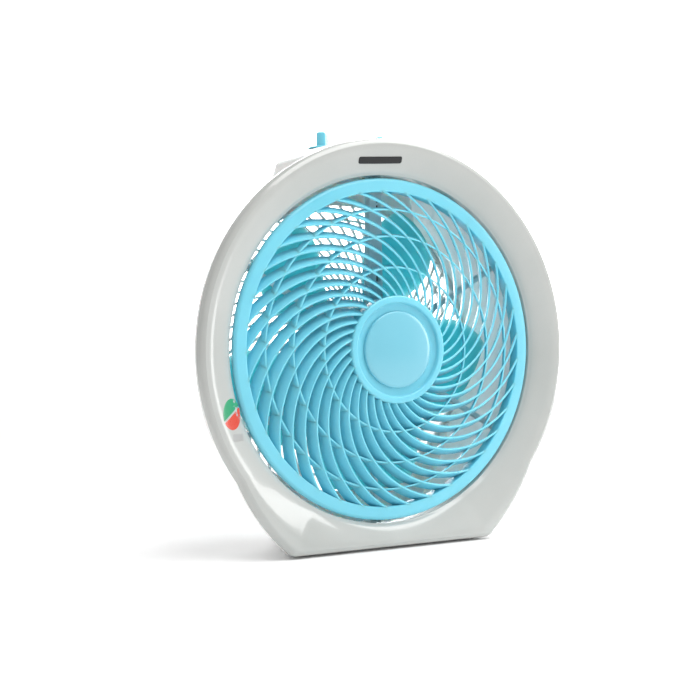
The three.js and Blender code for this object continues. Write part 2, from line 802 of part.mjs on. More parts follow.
// ---------------------------------------------------------------- impeller
/** One cambered blade, its leading edge at the back and on the clockwise side. */
function blade(turn) {
  const steps = 4;
  const chordSteps = 4;
  const from = impellerHubRadius - bladeRootSink;
  const sections = [];
  for (let i = 0; i <= steps; i++) {
    const share = i / steps;
    const radius = THREE.MathUtils.lerp(from, bladeTipRadius, share);
    const depth = THREE.MathUtils.lerp(bladeDepth, bladeTipDepth, share);
    const half = bladeHalfSweep * (1 - 0.3 * share ** 6) * (0.82 + 0.18 * Math.sin(share * Math.PI));
    const middle = turn - bladeSkew * share;
    const face = [];
    const rear = [];
    for (let j = 0; j <= chordSteps; j++) {
      const across = (2 * j) / chordSteps - 1;
      const angle = middle - half * across;
      const bow = bladeCamber * (1 - across ** 2);
      const y = alongY(impellerFrontY + bladeSetback) + (depth * across) / 2 - bow * 0.5;
      face.push(polar(radius, angle, y));
      rear.unshift(polar(radius, angle, y + bladeThickness));
    }
    sections.push([...face, ...rear]);
  }
  return loft(sections);
}

/** The cup-shaped hub and its five blades. */
function impeller() {
  const frontY = alongY(impellerFrontY);
  const hub = turned(
    [
      [fanShaftRadius + 0.2, frontY],
      [impellerHubRadius - 4, frontY],
      [impellerHubRadius, frontY + 4],
      [impellerHubRadius, frontY + impellerHubDepth],
      [impellerHubRadius - impellerHubWall, frontY + impellerHubDepth],
      [impellerHubRadius - impellerHubWall, frontY + 5],
      [impellerHubRadius - impellerHubWall - 2, frontY + impellerHubWall],
      [fanShaftRadius + 0.2, frontY + impellerHubWall],
    ],
    40,
  );
  const blades = [];
  for (let i = 0; i < bladeCount; i++) {
    const made = blade(bladePhase + (i * 2 * Math.PI) / bladeCount);
    blades.push(cut(made, rod(impellerHubRadius - 1, frontY - 20, frontY + 80, 0, 0, 40)));
  }
  return join(hub, ...blades);
}

/** The nut that holds the impeller on its shaft. */
function impellerNut() {
  const backY = alongY(impellerFrontY - seatGap);
  return turned(
    [
      [0, backY - nutLength],
      [nutRadius - 3, backY - nutLength + 1],
      [nutRadius, backY - nutLength + 4],
      [nutRadius, backY],
      [fanShaftRadius + 0.2, backY],
      [fanShaftRadius + 0.2, backY - nutLength + 4],
      [0, backY - nutLength + 4],
    ],
    24,
  );
}

// ---------------------------------------------------------------- main motor
const motorFront = alongY(motorFrontY);
const motorBack = alongY(motorBackY);
const motorMiddle = (motorFront + motorBack) / 2;
const stackFront = motorMiddle - stackLength / 2;
const stackBack = motorMiddle + stackLength / 2;

/** One pressed motor cover: a cup whose open side meets the stator. */
function motorCover(closedY, openY) {
  const side = Math.sign(openY - closedY);
  const vent = [
    [bushRadius + seatGap, closedY],
    [motorRadius - 4, closedY],
    [motorRadius, closedY + 4 * side],
    [motorRadius, openY],
    [motorRadius - motorWall, openY],
    [motorRadius - motorWall, closedY + (4 + motorWall) * side],
    [motorRadius - 4 - motorWall, closedY + motorWall * side],
    [bushRadius + seatGap + motorWall, closedY + motorWall * side],
    [bushRadius + seatGap + motorWall, closedY + bushLength * side],
    [bushRadius + seatGap, closedY + bushLength * side],
  ];
  const cup = turned(vent, 18);
  const holes = [];
  const fromY = Math.min(closedY, openY) - 1;
  const toY = Math.max(closedY, openY) + 1;
  for (const { x, z } of motorScrewPlaces) {
    holes.push(rod(screwShankRadius + slipGap, fromY, toY, x, z, 8));
  }
  return cut(cup, ...holes);
}

/** The laminated stack, with its pole slots. */
function statorCore() {
  const bore = rotorRadius + rotorGap;
  const outer = ring(bore, motorRadius - seatGap, stackFront + seatGap, stackBack - seatGap, 24);
  const slots = [];
  for (let i = 0; i < 8; i++) {
    const angle = (i * Math.PI) / 4;
    const slot = box([7, stackLength + 4, 4], bore + 2, motorMiddle, 0);
    slots.push(slot.rotateY(-angle));
  }
  return cut(outer, ...slots);
}

/** One bundle of end windings. */
function winding(fromY, toY) {
  const inner = rotorRadius + 4;
  const outer = motorRadius - motorWall - 2;
  const bevel = 2;
  return turned(
    [
      [inner + bevel, fromY],
      [outer - bevel, fromY],
      [outer, (fromY + toY) / 2],
      [outer - bevel, toY],
      [inner + bevel, toY],
      [inner, (fromY + toY) / 2],
    ],
    20,
  );
}

/** Adds the main motor, its shaft and its bushes. */
function addMotor() {
  addPiece("motor_front_cover", motorCover(motorFront, stackFront), materials.cover);
  addPiece("motor_rear_cover", motorCover(motorBack, stackBack), materials.cover);
  addPiece("stator_core", statorCore(), materials.lamination);
  addPiece("winding_front", winding(stackFront - windingLength, stackFront), materials.copper);
  addPiece("winding_rear", winding(stackBack, stackBack + windingLength), materials.copper);
  const rotor = ring(fanShaftRadius + 0.2, rotorRadius, stackFront - 1, stackBack + 1, 20);
  addPiece("rotor_core", rotor, materials.lamination);
  const shaftFront = alongY(impellerFrontY - seatGap - nutLength + 4 + seatGap);
  addPiece("fan_shaft", rod(fanShaftRadius, shaftFront, motorBack - 1), materials.steel);
  for (const [name, from, to] of [
    ["front_bush", motorFront + seatGap, motorFront + bushLength],
    ["rear_bush", motorBack - bushLength, motorBack - seatGap],
  ]) {
    addPiece(name, ring(fanShaftRadius + 0.1, bushRadius, from, to, 16), materials.bronze);
  }
}

// ---------------------------------------------------------------- rear guard
/** How far back the guard's rear face lies at a radius. */
function guardDomeY(radius) {
  const share = (radius - guardPlateRadius) / (guardRadius - guardPlateRadius);
  return guardBackY - guardDome * Math.max(share, 0) ** 1.8;
}

/** One swirled slat of the guard. */
function guardSlat(turn) {
  const from = guardPlateRadius - vaneSink;
  const to = guardRadius - guardRimWidth + vaneSink;
  const sections = [];
  for (let i = 0; i <= slatSteps; i++) {
    const radius = THREE.MathUtils.lerp(from, to, i / slatSteps);
    const angle = turn + Math.tan(slatPitchAngle) * Math.log(radius / guardPlateRadius);
    const across = polar(slatThickness / 2, angle + slatPitchAngle - Math.PI / 2);
    const back = polar(radius, angle, alongY(guardDomeY(radius)));
    const front = back.clone();
    back.y -= slatSetback;
    front.y = back.y - slatDepth;
    sections.push([
      front.clone().sub(across),
      front.clone().add(across),
      back.clone().add(across),
      back.clone().sub(across),
    ]);
  }
  return loft(sections);
}

/** The domed guard that closes the back and carries the main motor. */
function rearGuard() {
  const plateFront = alongY(guardBackY - guardPlateThickness);
  const plate = turned(
    [
      [0, plateFront],
      [guardPlateRadius, plateFront],
      [guardPlateRadius, alongY(guardBackY)],
      [0, alongY(guardBackY)],
    ],
    slatCount,
  );
  const pieces = [];
  for (let i = 0; i < slatCount; i++) pieces.push(guardSlat((i * 2 * Math.PI) / slatCount));
  faceOn(plate, slatCount, 0);
  const rimBack = alongY(shellBackY);
  const rim = ring(guardRadius - guardRimWidth, guardRadius, rimBack - guardRimDepth, rimBack, slatCount);
  pieces.push(faceOn(rim, slatCount, guardRimTurn));
  const body = join(plate, ...pieces);
  const holes = [];
  const plateBack = alongY(guardBackY);
  const recessY = alongY(motorScrewSeatY) - seatGap;
  for (const { x, z } of motorScrewPlaces) {
    holes.push(rod(screwShankRadius + slipGap, plateFront - 1, plateBack + 1, x, z, 8));
    holes.push(rod(screwHeadRadius + slipGap, recessY, plateBack + 1, x, z, 8));
  }
  return cut(body, ...holes);
}

// ---------------------------------------------------------------- controls
/** A round skirt with a bar grip, about the Z axis from z = 0 up. */
function knob() {
  const axisY = (profile, segments) => turned(profile, segments).rotateX(Math.PI / 2);
  const skirt = axisY(
    [
      [0, 0],
      [knobSkirtRadius, 0],
      [knobSkirtRadius, -1.2],
      [knobSkirtRadius - 2, -knobSkirtHeight],
      [0, -knobSkirtHeight],
    ].map(([radius, y]) => [radius, -y]),
    28,
  );
  const barrel = axisY(
    [
      [0, 1],
      [knobGripRadius, 1],
      [knobGripRadius, knobHeight - 1.5],
      [knobGripRadius - 1.5, knobHeight],
      [0, knobHeight],
    ],
    28,
  );
  const grip = common(barrel, box([knobGripWidth, 60, 60], 0, 0, 30));
  const boreRadius = controlShaftRadius + 0.2;
  const bore = new THREE.CylinderGeometry(boreRadius, boreRadius, knobRecess * 2, 12);
  return cut(join(skirt, grip), bore.rotateX(Math.PI / 2));
}

/** Adds one control: its knob, its shaft and the body under the deck. */
function addControl(name, x, turn, bodyName, bodySize) {
  const knobBase = deckHeight + knobLift;
  const place = new THREE.Vector3(x, alongY(knobY), knobBase);
  const knobMesh = addPiece(name + "_knob", knob(), materials.blue);
  knobMesh.position.copy(place);
  knobMesh.rotation.z = turn;
  const shaftFoot = deckUnder + seatGap;
  const shaftLength = knobBase + knobRecess - 1 - shaftFoot;
  const shaft = new THREE.CylinderGeometry(controlShaftRadius, controlShaftRadius, shaftLength, 12);
  shaft.rotateX(Math.PI / 2).translate(0, 0, shaftFoot + shaftLength / 2);
  addPiece(name + "_shaft", shaft, materials.zinc).position.set(x, alongY(knobY), 0);
  const neckHeight = controlNeckHeight + 1;
  const neck = new THREE.CylinderGeometry(controlNeckRadius, controlNeckRadius, neckHeight, 16);
  neck.rotateX(Math.PI / 2).translate(x, alongY(knobY), deckUnder - neckHeight / 2);
  const body = box(bodySize, x, alongY(knobY), deckUnder - controlNeckHeight - bodySize[2] / 2);
  addPiece(bodyName, join(body, neck), materials.electrical);
}

// ---------------------------------------------------------------- lead, feet, inlet, screws
/** The black lead from the gear motor, up the wide arm and back to the terminal block. */
function driveLead() {
  const channelY = alongY(leadY);
  const terminalFront = alongY(knobY) - terminalSize[1] / 2 - seatGap;
  const terminalHeight = deckUnder - terminalSize[2] / 2;
  const points = [
    new THREE.Vector3(leadOffset, channelY, grilleMotorRadius + 0.6),
    new THREE.Vector3(leadOffset, channelY, 60),
    new THREE.Vector3(leadOffset, channelY, 110),
    new THREE.Vector3(leadOffset, channelY, ductRadius - 18),
    new THREE.Vector3(leadOffset, channelY + 2, ductRadius),
    new THREE.Vector3(leadOffset, channelY + 12, ductRadius + 12),
    new THREE.Vector3(leadOffset, terminalFront - 8, terminalHeight),
    new THREE.Vector3(leadOffset, terminalFront, terminalHeight),
  ];
  const section = new THREE.Shape();
  section.absarc(0, 0, leadRadius, 0, 2 * Math.PI);
  return new THREE.ExtrudeGeometry(section, {
    steps: 22,
    curveSegments: 4,
    bevelEnabled: false,
    extrudePath: new THREE.CatmullRomCurve3(points),
  });
}

/** The four places of the feet on the base, as [x, y]. */
function footPlaces() {
  const front = alongY(partingY) + footInset;
  const back = alongY(shellBackY) - footInset;
  return [
    [-(baseHalfWidth - 2 * footInset), front],
    [baseHalfWidth - 2 * footInset, front],
    [-(rearBaseHalfWidth - 2 * footInset), back],
    [rearBaseHalfWidth - 2 * footInset, back],
  ];
}

/** The shallow pocket that a foot sits in. */
function footPocket([x, y]) {
  const pocket = new THREE.CylinderGeometry(footRadius + seatGap, footRadius + seatGap, footSeat * 2, 16);
  return pocket.rotateX(Math.PI / 2).translate(x, y, -baseDrop);
}

/** One round rubber foot. */
function foot([x, y]) {
  const height = footHeight + footSeat - seatGap;
  const body = new THREE.CylinderGeometry(footRadius, footRadius - 1, height, 16);
  return body.rotateX(Math.PI / 2).translate(x, y, -baseDrop - footHeight + height / 2);
}

/** The bushing that a supply cord would leave through. */
function cordInlet() {
  const backY = alongY(shellBackY) + seatGap;
  const bushing = turned(
    [
      [cordInletBore, backY - cordInletLength],
      [cordInletRadius, backY - cordInletLength],
      [cordInletRadius, backY],
      [cordInletRadius + 2, backY],
      [cordInletRadius + 2, backY + cordInletFlange - 0.8],
      [cordInletRadius + 1, backY + cordInletFlange],
      [cordInletBore, backY + cordInletFlange],
    ],
    14,
  );
  return bushing.translate(cordInletX, 0, -cordInletDrop);
}

/** The slow gear motor that turns the grille. */
function grilleMotor() {
  const front = alongY(supportCupFrontY);
  const back = alongY(supportCupFrontY + grilleMotorLength);
  return turned(
    [
      [0, front],
      [grilleMotorRadius - 1, front],
      [grilleMotorRadius, front + 1],
      [grilleMotorRadius, back],
      [0, back],
    ],
    36,
  );
}

/** The gear motor's output shaft, drilled for the screw that holds the grille. */
function grilleShaft() {
  const front = alongY(hubFrontY + grooveDepth + hubSeatDepth + seatGap);
  const back = alongY(supportCupFrontY - seatGap);
  return turned(
    [
      [screwShankRadius + slipGap, front],
      [grilleShaftRadius, front],
      [grilleShaftRadius, back],
      [0, back],
      [0, front + screwGrip],
      [screwShankRadius + slipGap, front + screwGrip],
    ],
    12,
  );
}

/** Adds a ring of screws, one node each. */
function addScrews(name, places, seatY, length) {
  places.forEach(({ x, z }, i) => {
    addPiece(`${name}_${i + 1}`, panScrew(seatY, length, 1).translate(x, 0, z), materials.zinc);
  });
}

// ---------------------------------------------------------------- assembly
addPiece("front_bezel", frontBezel(), materials.whiteGloss);
addPiece("rear_shell", rearShell(), materials.whiteSatin);
addPiece("rear_guard", rearGuard(), materials.whiteSatin);
addPiece("swing_grille", swingGrille(), materials.blue);
addPiece("grille_cap", grilleCap(), materials.blueCap);
addPiece("grille_screw", panScrew(hubFrontY + grooveDepth - seatGap, screwGrip, -1), materials.zinc);
addPiece("grille_shaft", grilleShaft(), materials.steel);
addPiece("grille_motor", grilleMotor(), materials.cover);
addPiece("front_support", frontSupport(), materials.grey);
addPiece("drive_lead", driveLead(), materials.black);
addPiece("impeller", impeller(), materials.blue);
addPiece("impeller_nut", impellerNut(), materials.blue);
addMotor();
addControl("speed", -knobSpacing / 2, speedKnobTurn, "speed_switch", switchSize);
addControl("timer", knobSpacing / 2, timerKnobTurn, "timer_body", timerSize);
footPlaces().forEach((place, i) => addPiece(`foot_${i + 1}`, foot(place), materials.rubber));
addPiece("cord_inlet", cordInlet(), materials.black);
addPiece(
  "terminal_block",
  box(terminalSize, 0, alongY(knobY), deckUnder - terminalSize[2] / 2),
  materials.electrical,
);
addPiece(
  "capacitor",
  box(capacitorSize, capacitorX, alongY(knobY - capacitorSetForward), deckUnder - capacitorSize[2] / 2),
  materials.black,
);
addScrews("shell_screw", shellScrewPlaces, shellTubeY + tubeFloor + seatGap, screwGrip);
addScrews("support_screw", supportScrewPlaces, padY + padThickness + seatGap, screwGrip - 1);
addScrews("motor_screw", motorScrewPlaces, motorScrewSeatY, motorScrewLength);

fan.updateMatrixWorld(true);

export default fan;
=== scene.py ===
"""A box fan with a turning front grille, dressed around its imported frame.

Lengths are in millimetres about the fan's own axis until a mesh is finished, and then in metres
in the frame's place. A depth is measured back from the foremost face of the grille's cap.
"""

import logging
import math
from dataclasses import dataclass, field
from enum import Enum
from typing import Sequence

import bmesh
import bpy
import numpy as np
from mathutils import Matrix, Vector


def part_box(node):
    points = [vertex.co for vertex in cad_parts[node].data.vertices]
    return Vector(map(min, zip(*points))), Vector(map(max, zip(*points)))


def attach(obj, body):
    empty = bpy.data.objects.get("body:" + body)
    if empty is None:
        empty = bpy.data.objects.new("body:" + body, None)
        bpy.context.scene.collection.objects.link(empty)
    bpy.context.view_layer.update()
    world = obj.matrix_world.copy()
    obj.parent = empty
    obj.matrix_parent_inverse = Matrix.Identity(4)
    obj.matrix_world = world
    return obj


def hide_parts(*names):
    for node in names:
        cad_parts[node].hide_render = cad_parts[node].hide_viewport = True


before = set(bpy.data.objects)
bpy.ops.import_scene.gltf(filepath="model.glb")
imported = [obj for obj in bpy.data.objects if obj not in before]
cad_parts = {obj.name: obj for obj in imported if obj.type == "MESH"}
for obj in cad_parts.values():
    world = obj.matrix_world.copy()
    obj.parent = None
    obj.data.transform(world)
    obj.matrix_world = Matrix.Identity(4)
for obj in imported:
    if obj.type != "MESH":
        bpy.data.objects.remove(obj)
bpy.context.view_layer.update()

LOG = logging.getLogger("box_fan")
MM = 0.001
TAU = 2 * math.pi
SMOOTH_ANGLE = math.radians(32)

# Lengths and angles that more than one sub-assembly needs, in millimetres and degrees.
WELD = 0.002
ON_AXIS = 1e-6
SHELL_SCREW_CIRCLE = 185.0
SHELL_SCREW_ANGLES = (5, 50, 130, 175, 222, 318)
PAD_CIRCLE = 176.0
PAD_ANGLES = (90, 150, 210, 270, 330, 30)
MOTOR_SCREW_CIRCLE = 27.0
MOTOR_SCREW_ANGLES = (45, 135, 225, 315)
LEAD_OFFSET = 2.8

Colour = tuple[float, float, float]
Point2 = tuple[float, float]
Point3 = tuple[float, float, float]
Corner = tuple[float, float, float]
Faces = list[tuple[int, ...]]


# ------------------------------------------------------------------------------ finishes
class Grain(Enum):
    """The small pattern that a finish carries."""

    MOULDED = "moulded"
    BRUSHED = "brushed"
    LAMINATED = "laminated"
    WOUND = "wound"
    CAST = "cast"


@dataclass(frozen=True)
class Finish:
    """One surface finish, made with nodes on Object coordinates.

    Args:
        name: the material's name.
        slot: the record's material slot; not used.
        base: the main colour.
        tint: the colour that the main one drifts towards.
        rough: the lowest and highest roughness.
        metal: how metallic the surface is.
        coat: the strength of a clear gloss over it.
        scatter: how much of the light passes into the surface.
        scatter_depth: how far it goes in, in millimetres.
        grain: the small pattern.
        grain_scale: the pattern's cells in a metre.
        relief: the pattern's height in millimetres.
    """

    name: str
    slot: str
    base: Colour
    tint: Colour
    rough: tuple[float, float] = (0.3, 0.4)
    metal: float = 0.0
    coat: float = 0.0
    scatter: float = 0.0
    scatter_depth: float = 2.0
    grain: Grain = Grain.MOULDED
    grain_scale: float = 900.0
    relief: float = 0.02

    def material(self) -> bpy.types.Material:
        """Builds the material, or gives the one already built.

        Returns:
            The node material.
        """
        label = self.name + "_finish"
        made = bpy.data.materials.get(label)
        if made is not None:
            return made
        made = bpy.data.materials.new(label)
        made.use_nodes = True
        made.diffuse_color = (*self.base, 1)
        tree = made.node_tree
        shader = tree.nodes["Principled BSDF"]
        shader.inputs["Metallic"].default_value = self.metal
        shader.inputs["Coat Weight"].default_value = self.coat
        shader.inputs["Coat Roughness"].default_value = 0.06
        shader.inputs["Subsurface Weight"].default_value = self.scatter
        shader.inputs["Subsurface Scale"].default_value = self.scatter_depth * MM
        shader.inputs["Subsurface Radius"].default_value = (0.7, 0.9, 1.0)
        place = tree.nodes.new("ShaderNodeTexCoord").outputs["Object"]
        drift = self._noise(tree, place, 14.0, 3.0)
        fine = self._pattern(tree, place)
        self._colour(tree, drift, fine, shader)
        self._gloss(tree, drift, fine, shader)
        bump = tree.nodes.new("ShaderNodeBump")
        bump.inputs["Strength"].default_value = 0.6
        bump.inputs["Distance"].default_value = self.relief * MM
        tree.links.new(fine, bump.inputs["Height"])
        tree.links.new(bump.outputs["Normal"], shader.inputs["Normal"])
        return made

    @staticmethod
    def _noise(
        tree: bpy.types.NodeTree, place: bpy.types.NodeSocket, scale: float, detail: float
    ) -> bpy.types.NodeSocket:
        """Adds one noise pattern.

        Args:
            tree: the material's nodes.
            place: the coordinates it reads.
            scale: its cells in a metre.
            detail: its octaves.

        Returns:
            The pattern's value, from 0 to 1.
        """
        noise = tree.nodes.new("ShaderNodeTexNoise")
        noise.inputs["Scale"].default_value = scale
        noise.inputs["Detail"].default_value = detail
        tree.links.new(place, noise.inputs["Vector"])
        return noise.outputs["Fac"]

    def _pattern(
        self, tree: bpy.types.NodeTree, place: bpy.types.NodeSocket
    ) -> bpy.types.NodeSocket:
        """Adds the finish's small pattern.

        Args:
            tree: the material's nodes.
            place: the coordinates it reads.

        Returns:
            The pattern's value, from 0 to 1.
        """
        stretch = {
            Grain.BRUSHED: (1.0, 0.04, 1.0),
            Grain.LAMINATED: (0.02, 1.0, 0.02),
            Grain.WOUND: (1.0, 0.15, 1.0),
        }.get(self.grain)
        if stretch is not None:
            mapping = tree.nodes.new("ShaderNodeMapping")
            mapping.inputs["Scale"].default_value = stretch
            tree.links.new(place, mapping.inputs["Vector"])
            place = mapping.outputs["Vector"]
        if self.grain in (Grain.LAMINATED, Grain.WOUND):
            bands = tree.nodes.new("ShaderNodeTexWave")
            bands.bands_direction = "Y" if self.grain is Grain.LAMINATED else "DIAGONAL"
            bands.inputs["Scale"].default_value = self.grain_scale
            bands.inputs["Distortion"].default_value = 1.2
            tree.links.new(place, bands.inputs["Vector"])
            return bands.outputs["Fac"]
        if self.grain is Grain.CAST:
            cells = tree.nodes.new("ShaderNodeTexVoronoi")
            cells.inputs["Scale"].default_value = self.grain_scale
            tree.links.new(place, cells.inputs["Vector"])
            return cells.outputs["Distance"]
        return self._noise(tree, place, self.grain_scale, 2.0)

    def _colour(
        self,
        tree: bpy.types.NodeTree,
        drift: bpy.types.NodeSocket,
        fine: bpy.types.NodeSocket,
        shader: bpy.types.Node,
    ) -> None:
        """Drives the base colour from a slow drift and a little of the small pattern.

        Args:
            tree: the material's nodes.
            drift: the slow pattern.
            fine: the small pattern.
            shader: the surface shader.
        """
        blend = tree.nodes.new("ShaderNodeMath")
        blend.operation = "MULTIPLY_ADD"
        blend.inputs[1].default_value = 0.25
        tree.links.new(fine, blend.inputs[0])
        tree.links.new(drift, blend.inputs[2])
        ramp = tree.nodes.new("ShaderNodeValToRGB")
        ramp.color_ramp.elements[0].position = 0.35
        ramp.color_ramp.elements[0].color = (*self.base, 1)
        ramp.color_ramp.elements[1].position = 0.85
        ramp.color_ramp.elements[1].color = (*self.tint, 1)
        tree.links.new(blend.outputs[0], ramp.inputs["Fac"])
        tree.links.new(ramp.outputs["Color"], shader.inputs["Base Color"])

    def _gloss(
        self,
        tree: bpy.types.NodeTree,
        drift: bpy.types.NodeSocket,
        fine: bpy.types.NodeSocket,
        shader: bpy.types.Node,
    ) -> None:
        """Drives the roughness, smudged slowly and broken up finely.

        Args:
            tree: the material's nodes.
            drift: the slow pattern.
            fine: the small pattern.
            shader: the surface shader.
        """
        total = tree.nodes.new("ShaderNodeMath")
        total.operation = "ADD"
        tree.links.new(drift, total.inputs[0])
        tree.links.new(fine, total.inputs[1])
        spread = tree.nodes.new("ShaderNodeMapRange")
        spread.inputs["From Min"].default_value = 0.6
        spread.inputs["From Max"].default_value = 1.4
        spread.inputs["To Min"].default_value = self.rough[0]
        spread.inputs["To Max"].default_value = self.rough[1]
        tree.links.new(total.outputs[0], spread.inputs["Value"])
        tree.links.new(spread.outputs["Result"], shader.inputs["Roughness"])


# Painted shade: the white gloss bezel's colour is darkened to a mid grey so that the whole bezel looks
# shaded.
GLOSS_WHITE_PAINTED_SHADE = Finish(
    "gloss_white_painted_shade", "white_gloss", (0.475, 0.49, 0.47), (0.515, 0.525, 0.505),
    rough=(0.16, 0.24), coat=0.55, scatter=0.04, grain_scale=700.0, relief=0.004,
)
WHITE_SATIN = Finish(
    "white_satin_plastic", "white_satin", (0.85, 0.86, 0.84), (0.88, 0.89, 0.88),
    rough=(0.30, 0.42), coat=0.15, scatter=0.6, scatter_depth=6.0, grain_scale=1100.0,
    relief=0.01,
)
BLUE = Finish(
    "blue_plastic", "blue_plastic", (0.17, 0.61, 0.75), (0.21, 0.67, 0.81),
    rough=(0.26, 0.36), coat=0.25, scatter=0.5, scatter_depth=3.0, grain_scale=1000.0,
    relief=0.006,
)
BLUE_CAP = Finish(
    "blue_cap_plastic", "blue_gloss", (0.17, 0.53, 0.66), (0.20, 0.57, 0.70),
    rough=(0.20, 0.28), coat=0.5, scatter=0.05, grain_scale=900.0, relief=0.004,
)
# Painted light: the impeller's blue is a brightened copy of the grille's blue plastic, standing in for
# light shining through the blades.
BLADE_BLUE_PAINTED_LIGHT = Finish(
    "blade_blue_painted_light", "blue_plastic", (0.17, 0.74, 0.85), (0.20, 0.79, 0.89),
    rough=(0.30, 0.38), coat=0.1, scatter=0.8, scatter_depth=6.0, grain_scale=900.0,
    relief=0.006,
)
# Painted light: this grey plastic is lightened and tinted pale blue to offset the shade that the spider
# sits in behind the blue grille.
PAINTED_LIGHT_PALE_PLASTIC = Finish(
    "grey_plastic", "grey_plastic", (0.60, 0.78, 0.82), (0.65, 0.82, 0.86),
    rough=(0.40, 0.52), grain_scale=1300.0, relief=0.012,
)
BLACK_LEAD = Finish(
    "black_lead_sheath", "black_lead", (0.012, 0.012, 0.013), (0.022, 0.022, 0.023),
    rough=(0.45, 0.6), grain_scale=1500.0, relief=0.01,
)
BLACK_PLASTIC = Finish(
    "black_plastic", "black_plastic", (0.018, 0.018, 0.019), (0.03, 0.03, 0.031),
    rough=(0.38, 0.5), grain_scale=1400.0, relief=0.015,
)
STEEL = Finish(
    "ground_steel", "steel", (0.52, 0.53, 0.54), (0.62, 0.63, 0.64),
    rough=(0.22, 0.34), metal=1.0, grain=Grain.BRUSHED, grain_scale=1600.0, relief=0.006,
)
ZINC = Finish(
    "zinc_plate", "zinc", (0.60, 0.61, 0.62), (0.70, 0.71, 0.73),
    rough=(0.24, 0.4), metal=1.0, grain=Grain.CAST, grain_scale=900.0, relief=0.008,
)
LAMINATION = Finish(
    "laminated_steel", "lamination", (0.17, 0.175, 0.185), (0.30, 0.31, 0.32),
    rough=(0.4, 0.55), metal=1.0, grain=Grain.LAMINATED, grain_scale=320.0, relief=0.05,
)
COPPER = Finish(
    "enamelled_copper", "copper", (0.45, 0.16, 0.06), (0.62, 0.25, 0.10),
    rough=(0.25, 0.4), metal=1.0, coat=0.4, grain=Grain.WOUND, grain_scale=260.0, relief=0.08,
)
BRONZE = Finish(
    "sintered_bronze", "bronze", (0.42, 0.27, 0.12), (0.56, 0.38, 0.17),
    rough=(0.38, 0.5), metal=1.0, grain=Grain.CAST, grain_scale=2200.0, relief=0.02,
)
PRESSED = Finish(
    "pressed_steel", "motor_cover", (0.36, 0.38, 0.40), (0.45, 0.47, 0.49),
    rough=(0.34, 0.5), metal=0.9, grain=Grain.CAST, grain_scale=500.0, relief=0.012,
)
CREAM = Finish(
    "cream_insulation", "electrical", (0.66, 0.62, 0.52), (0.74, 0.70, 0.60),
    rough=(0.42, 0.55), grain_scale=1200.0, relief=0.015,
)
BADGE = Finish(
    "badge_ink", "black_plastic", (0.006, 0.006, 0.007), (0.012, 0.012, 0.013),
    rough=(0.5, 0.6), grain_scale=1400.0, relief=0.005,
)
LABEL = Finish(
    "plain_label_film", "white_satin", (0.36, 0.36, 0.355), (0.42, 0.42, 0.41),
    rough=(0.35, 0.45), grain_scale=900.0, relief=0.003,
)
STICKER_GREEN = Finish(
    "green_sticker_film", "black_plastic", (0.02, 0.30, 0.13), (0.03, 0.36, 0.17),
    rough=(0.25, 0.35), coat=0.3, grain_scale=900.0, relief=0.003,
)
STICKER_RED = Finish(
    "red_sticker_film", "black_plastic", (0.62, 0.045, 0.022), (0.70, 0.07, 0.035),
    rough=(0.25, 0.35), coat=0.3, grain_scale=900.0, relief=0.003,
)
RUBBER = Finish(
    "foot_rubber", "rubber", (0.02, 0.02, 0.022), (0.04, 0.04, 0.042),
    rough=(0.7, 0.85), grain_scale=1700.0, relief=0.04,
)


# ------------------------------------------------------------------------------ places
@dataclass(frozen=True)
class Datum:
    """Where the fan's axis and its foremost face lie in the frame, in millimetres."""

    height: float
    front: float

    @classmethod
    def read(cls) -> "Datum":
        """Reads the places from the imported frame.

        Returns:
            The places.
        """
        low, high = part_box("fan_shaft")
        return cls(height=(low.z + high.z) / 2 / MM, front=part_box("grille_cap")[0].y / MM)

    def matrix(self) -> Matrix:
        """The move from (x, depth, height) in millimetres to the frame in metres."""
        return Matrix.Scale(MM, 4) @ Matrix.Translation((0, self.front, self.height))


# ------------------------------------------------------------------------------ shapes
@dataclass
class Shape:
    """A closed mesh in the making: points and faces in millimetres."""

    points: list[Point3] = field(default_factory=list)
    faces: Faces = field(default_factory=list)

    @classmethod
    def of(cls, mesh: bpy.types.Mesh) -> "Shape":
        """Takes a mesh's points and faces.

        Args:
            mesh: the mesh, in millimetres.

        Returns:
            The same shape.
        """
        return cls(
            [tuple(vertex.co) for vertex in mesh.vertices],
            [tuple(polygon.vertices) for polygon in mesh.polygons],
        )

    def add(self, other: "Shape", move: Matrix | None = None) -> "Shape":
        """Adds another shape's mesh to this one.

        Args:
            other: the shape to add.
            move: where it goes, if not where it is.

        Returns:
            This shape.
        """
        start = len(self.points)
        for point in other.points:
            self.points.append(tuple(move @ Vector(point)) if move else point)
        self.faces.extend(tuple(i + start for i in face) for face in other.faces)
        return self

    def mesh(self, name: str) -> bpy.types.Mesh:
        """Turns the shape into a mesh whose faces point outwards.

        Args:
            name: the mesh's name.

        Returns:
            The mesh, still in millimetres.
        """
        mesh = bpy.data.meshes.new(name)
        mesh.from_pydata(self.points, [], self.faces)
        work = bmesh.new()
        work.from_mesh(mesh)
        bmesh.ops.remove_doubles(work, verts=work.verts, dist=WELD)
        bmesh.ops.recalc_face_normals(work, faces=work.faces)
        work.to_mesh(mesh)
        work.free()
        return mesh


def rounded(corners: Sequence[Corner], steps: int = 5, closed: bool = True) -> list[Point2]:
    """Rounds the corners of a polyline.

    Args:
        corners: each corner with its radius.
        steps: points in each rounded corner.
        closed: whether the last corner joins the first.

    Returns:
        The points of the rounded line.
    """
    made: list[Point2] = []
    count = len(corners)
    for i, (x, y, radius) in enumerate(corners):
        here = Vector((x, y))
        if radius <= 0 or (not closed and i in (0, count - 1)):
            made.append((x, y))
            continue
        before = Vector(corners[i - 1][:2]) - here
        after = Vector(corners[(i + 1) % count][:2]) - here
        reach = min(radius, before.length * 0.48, after.length * 0.48)
        start = here + before.normalized() * reach
        end = here + after.normalized() * reach
        for step in range(steps + 1):
            t = step / steps
            point = start * (1 - t) ** 2 + here * (2 * t * (1 - t)) + end * t**2
            made.append((point.x, point.y))
    return made


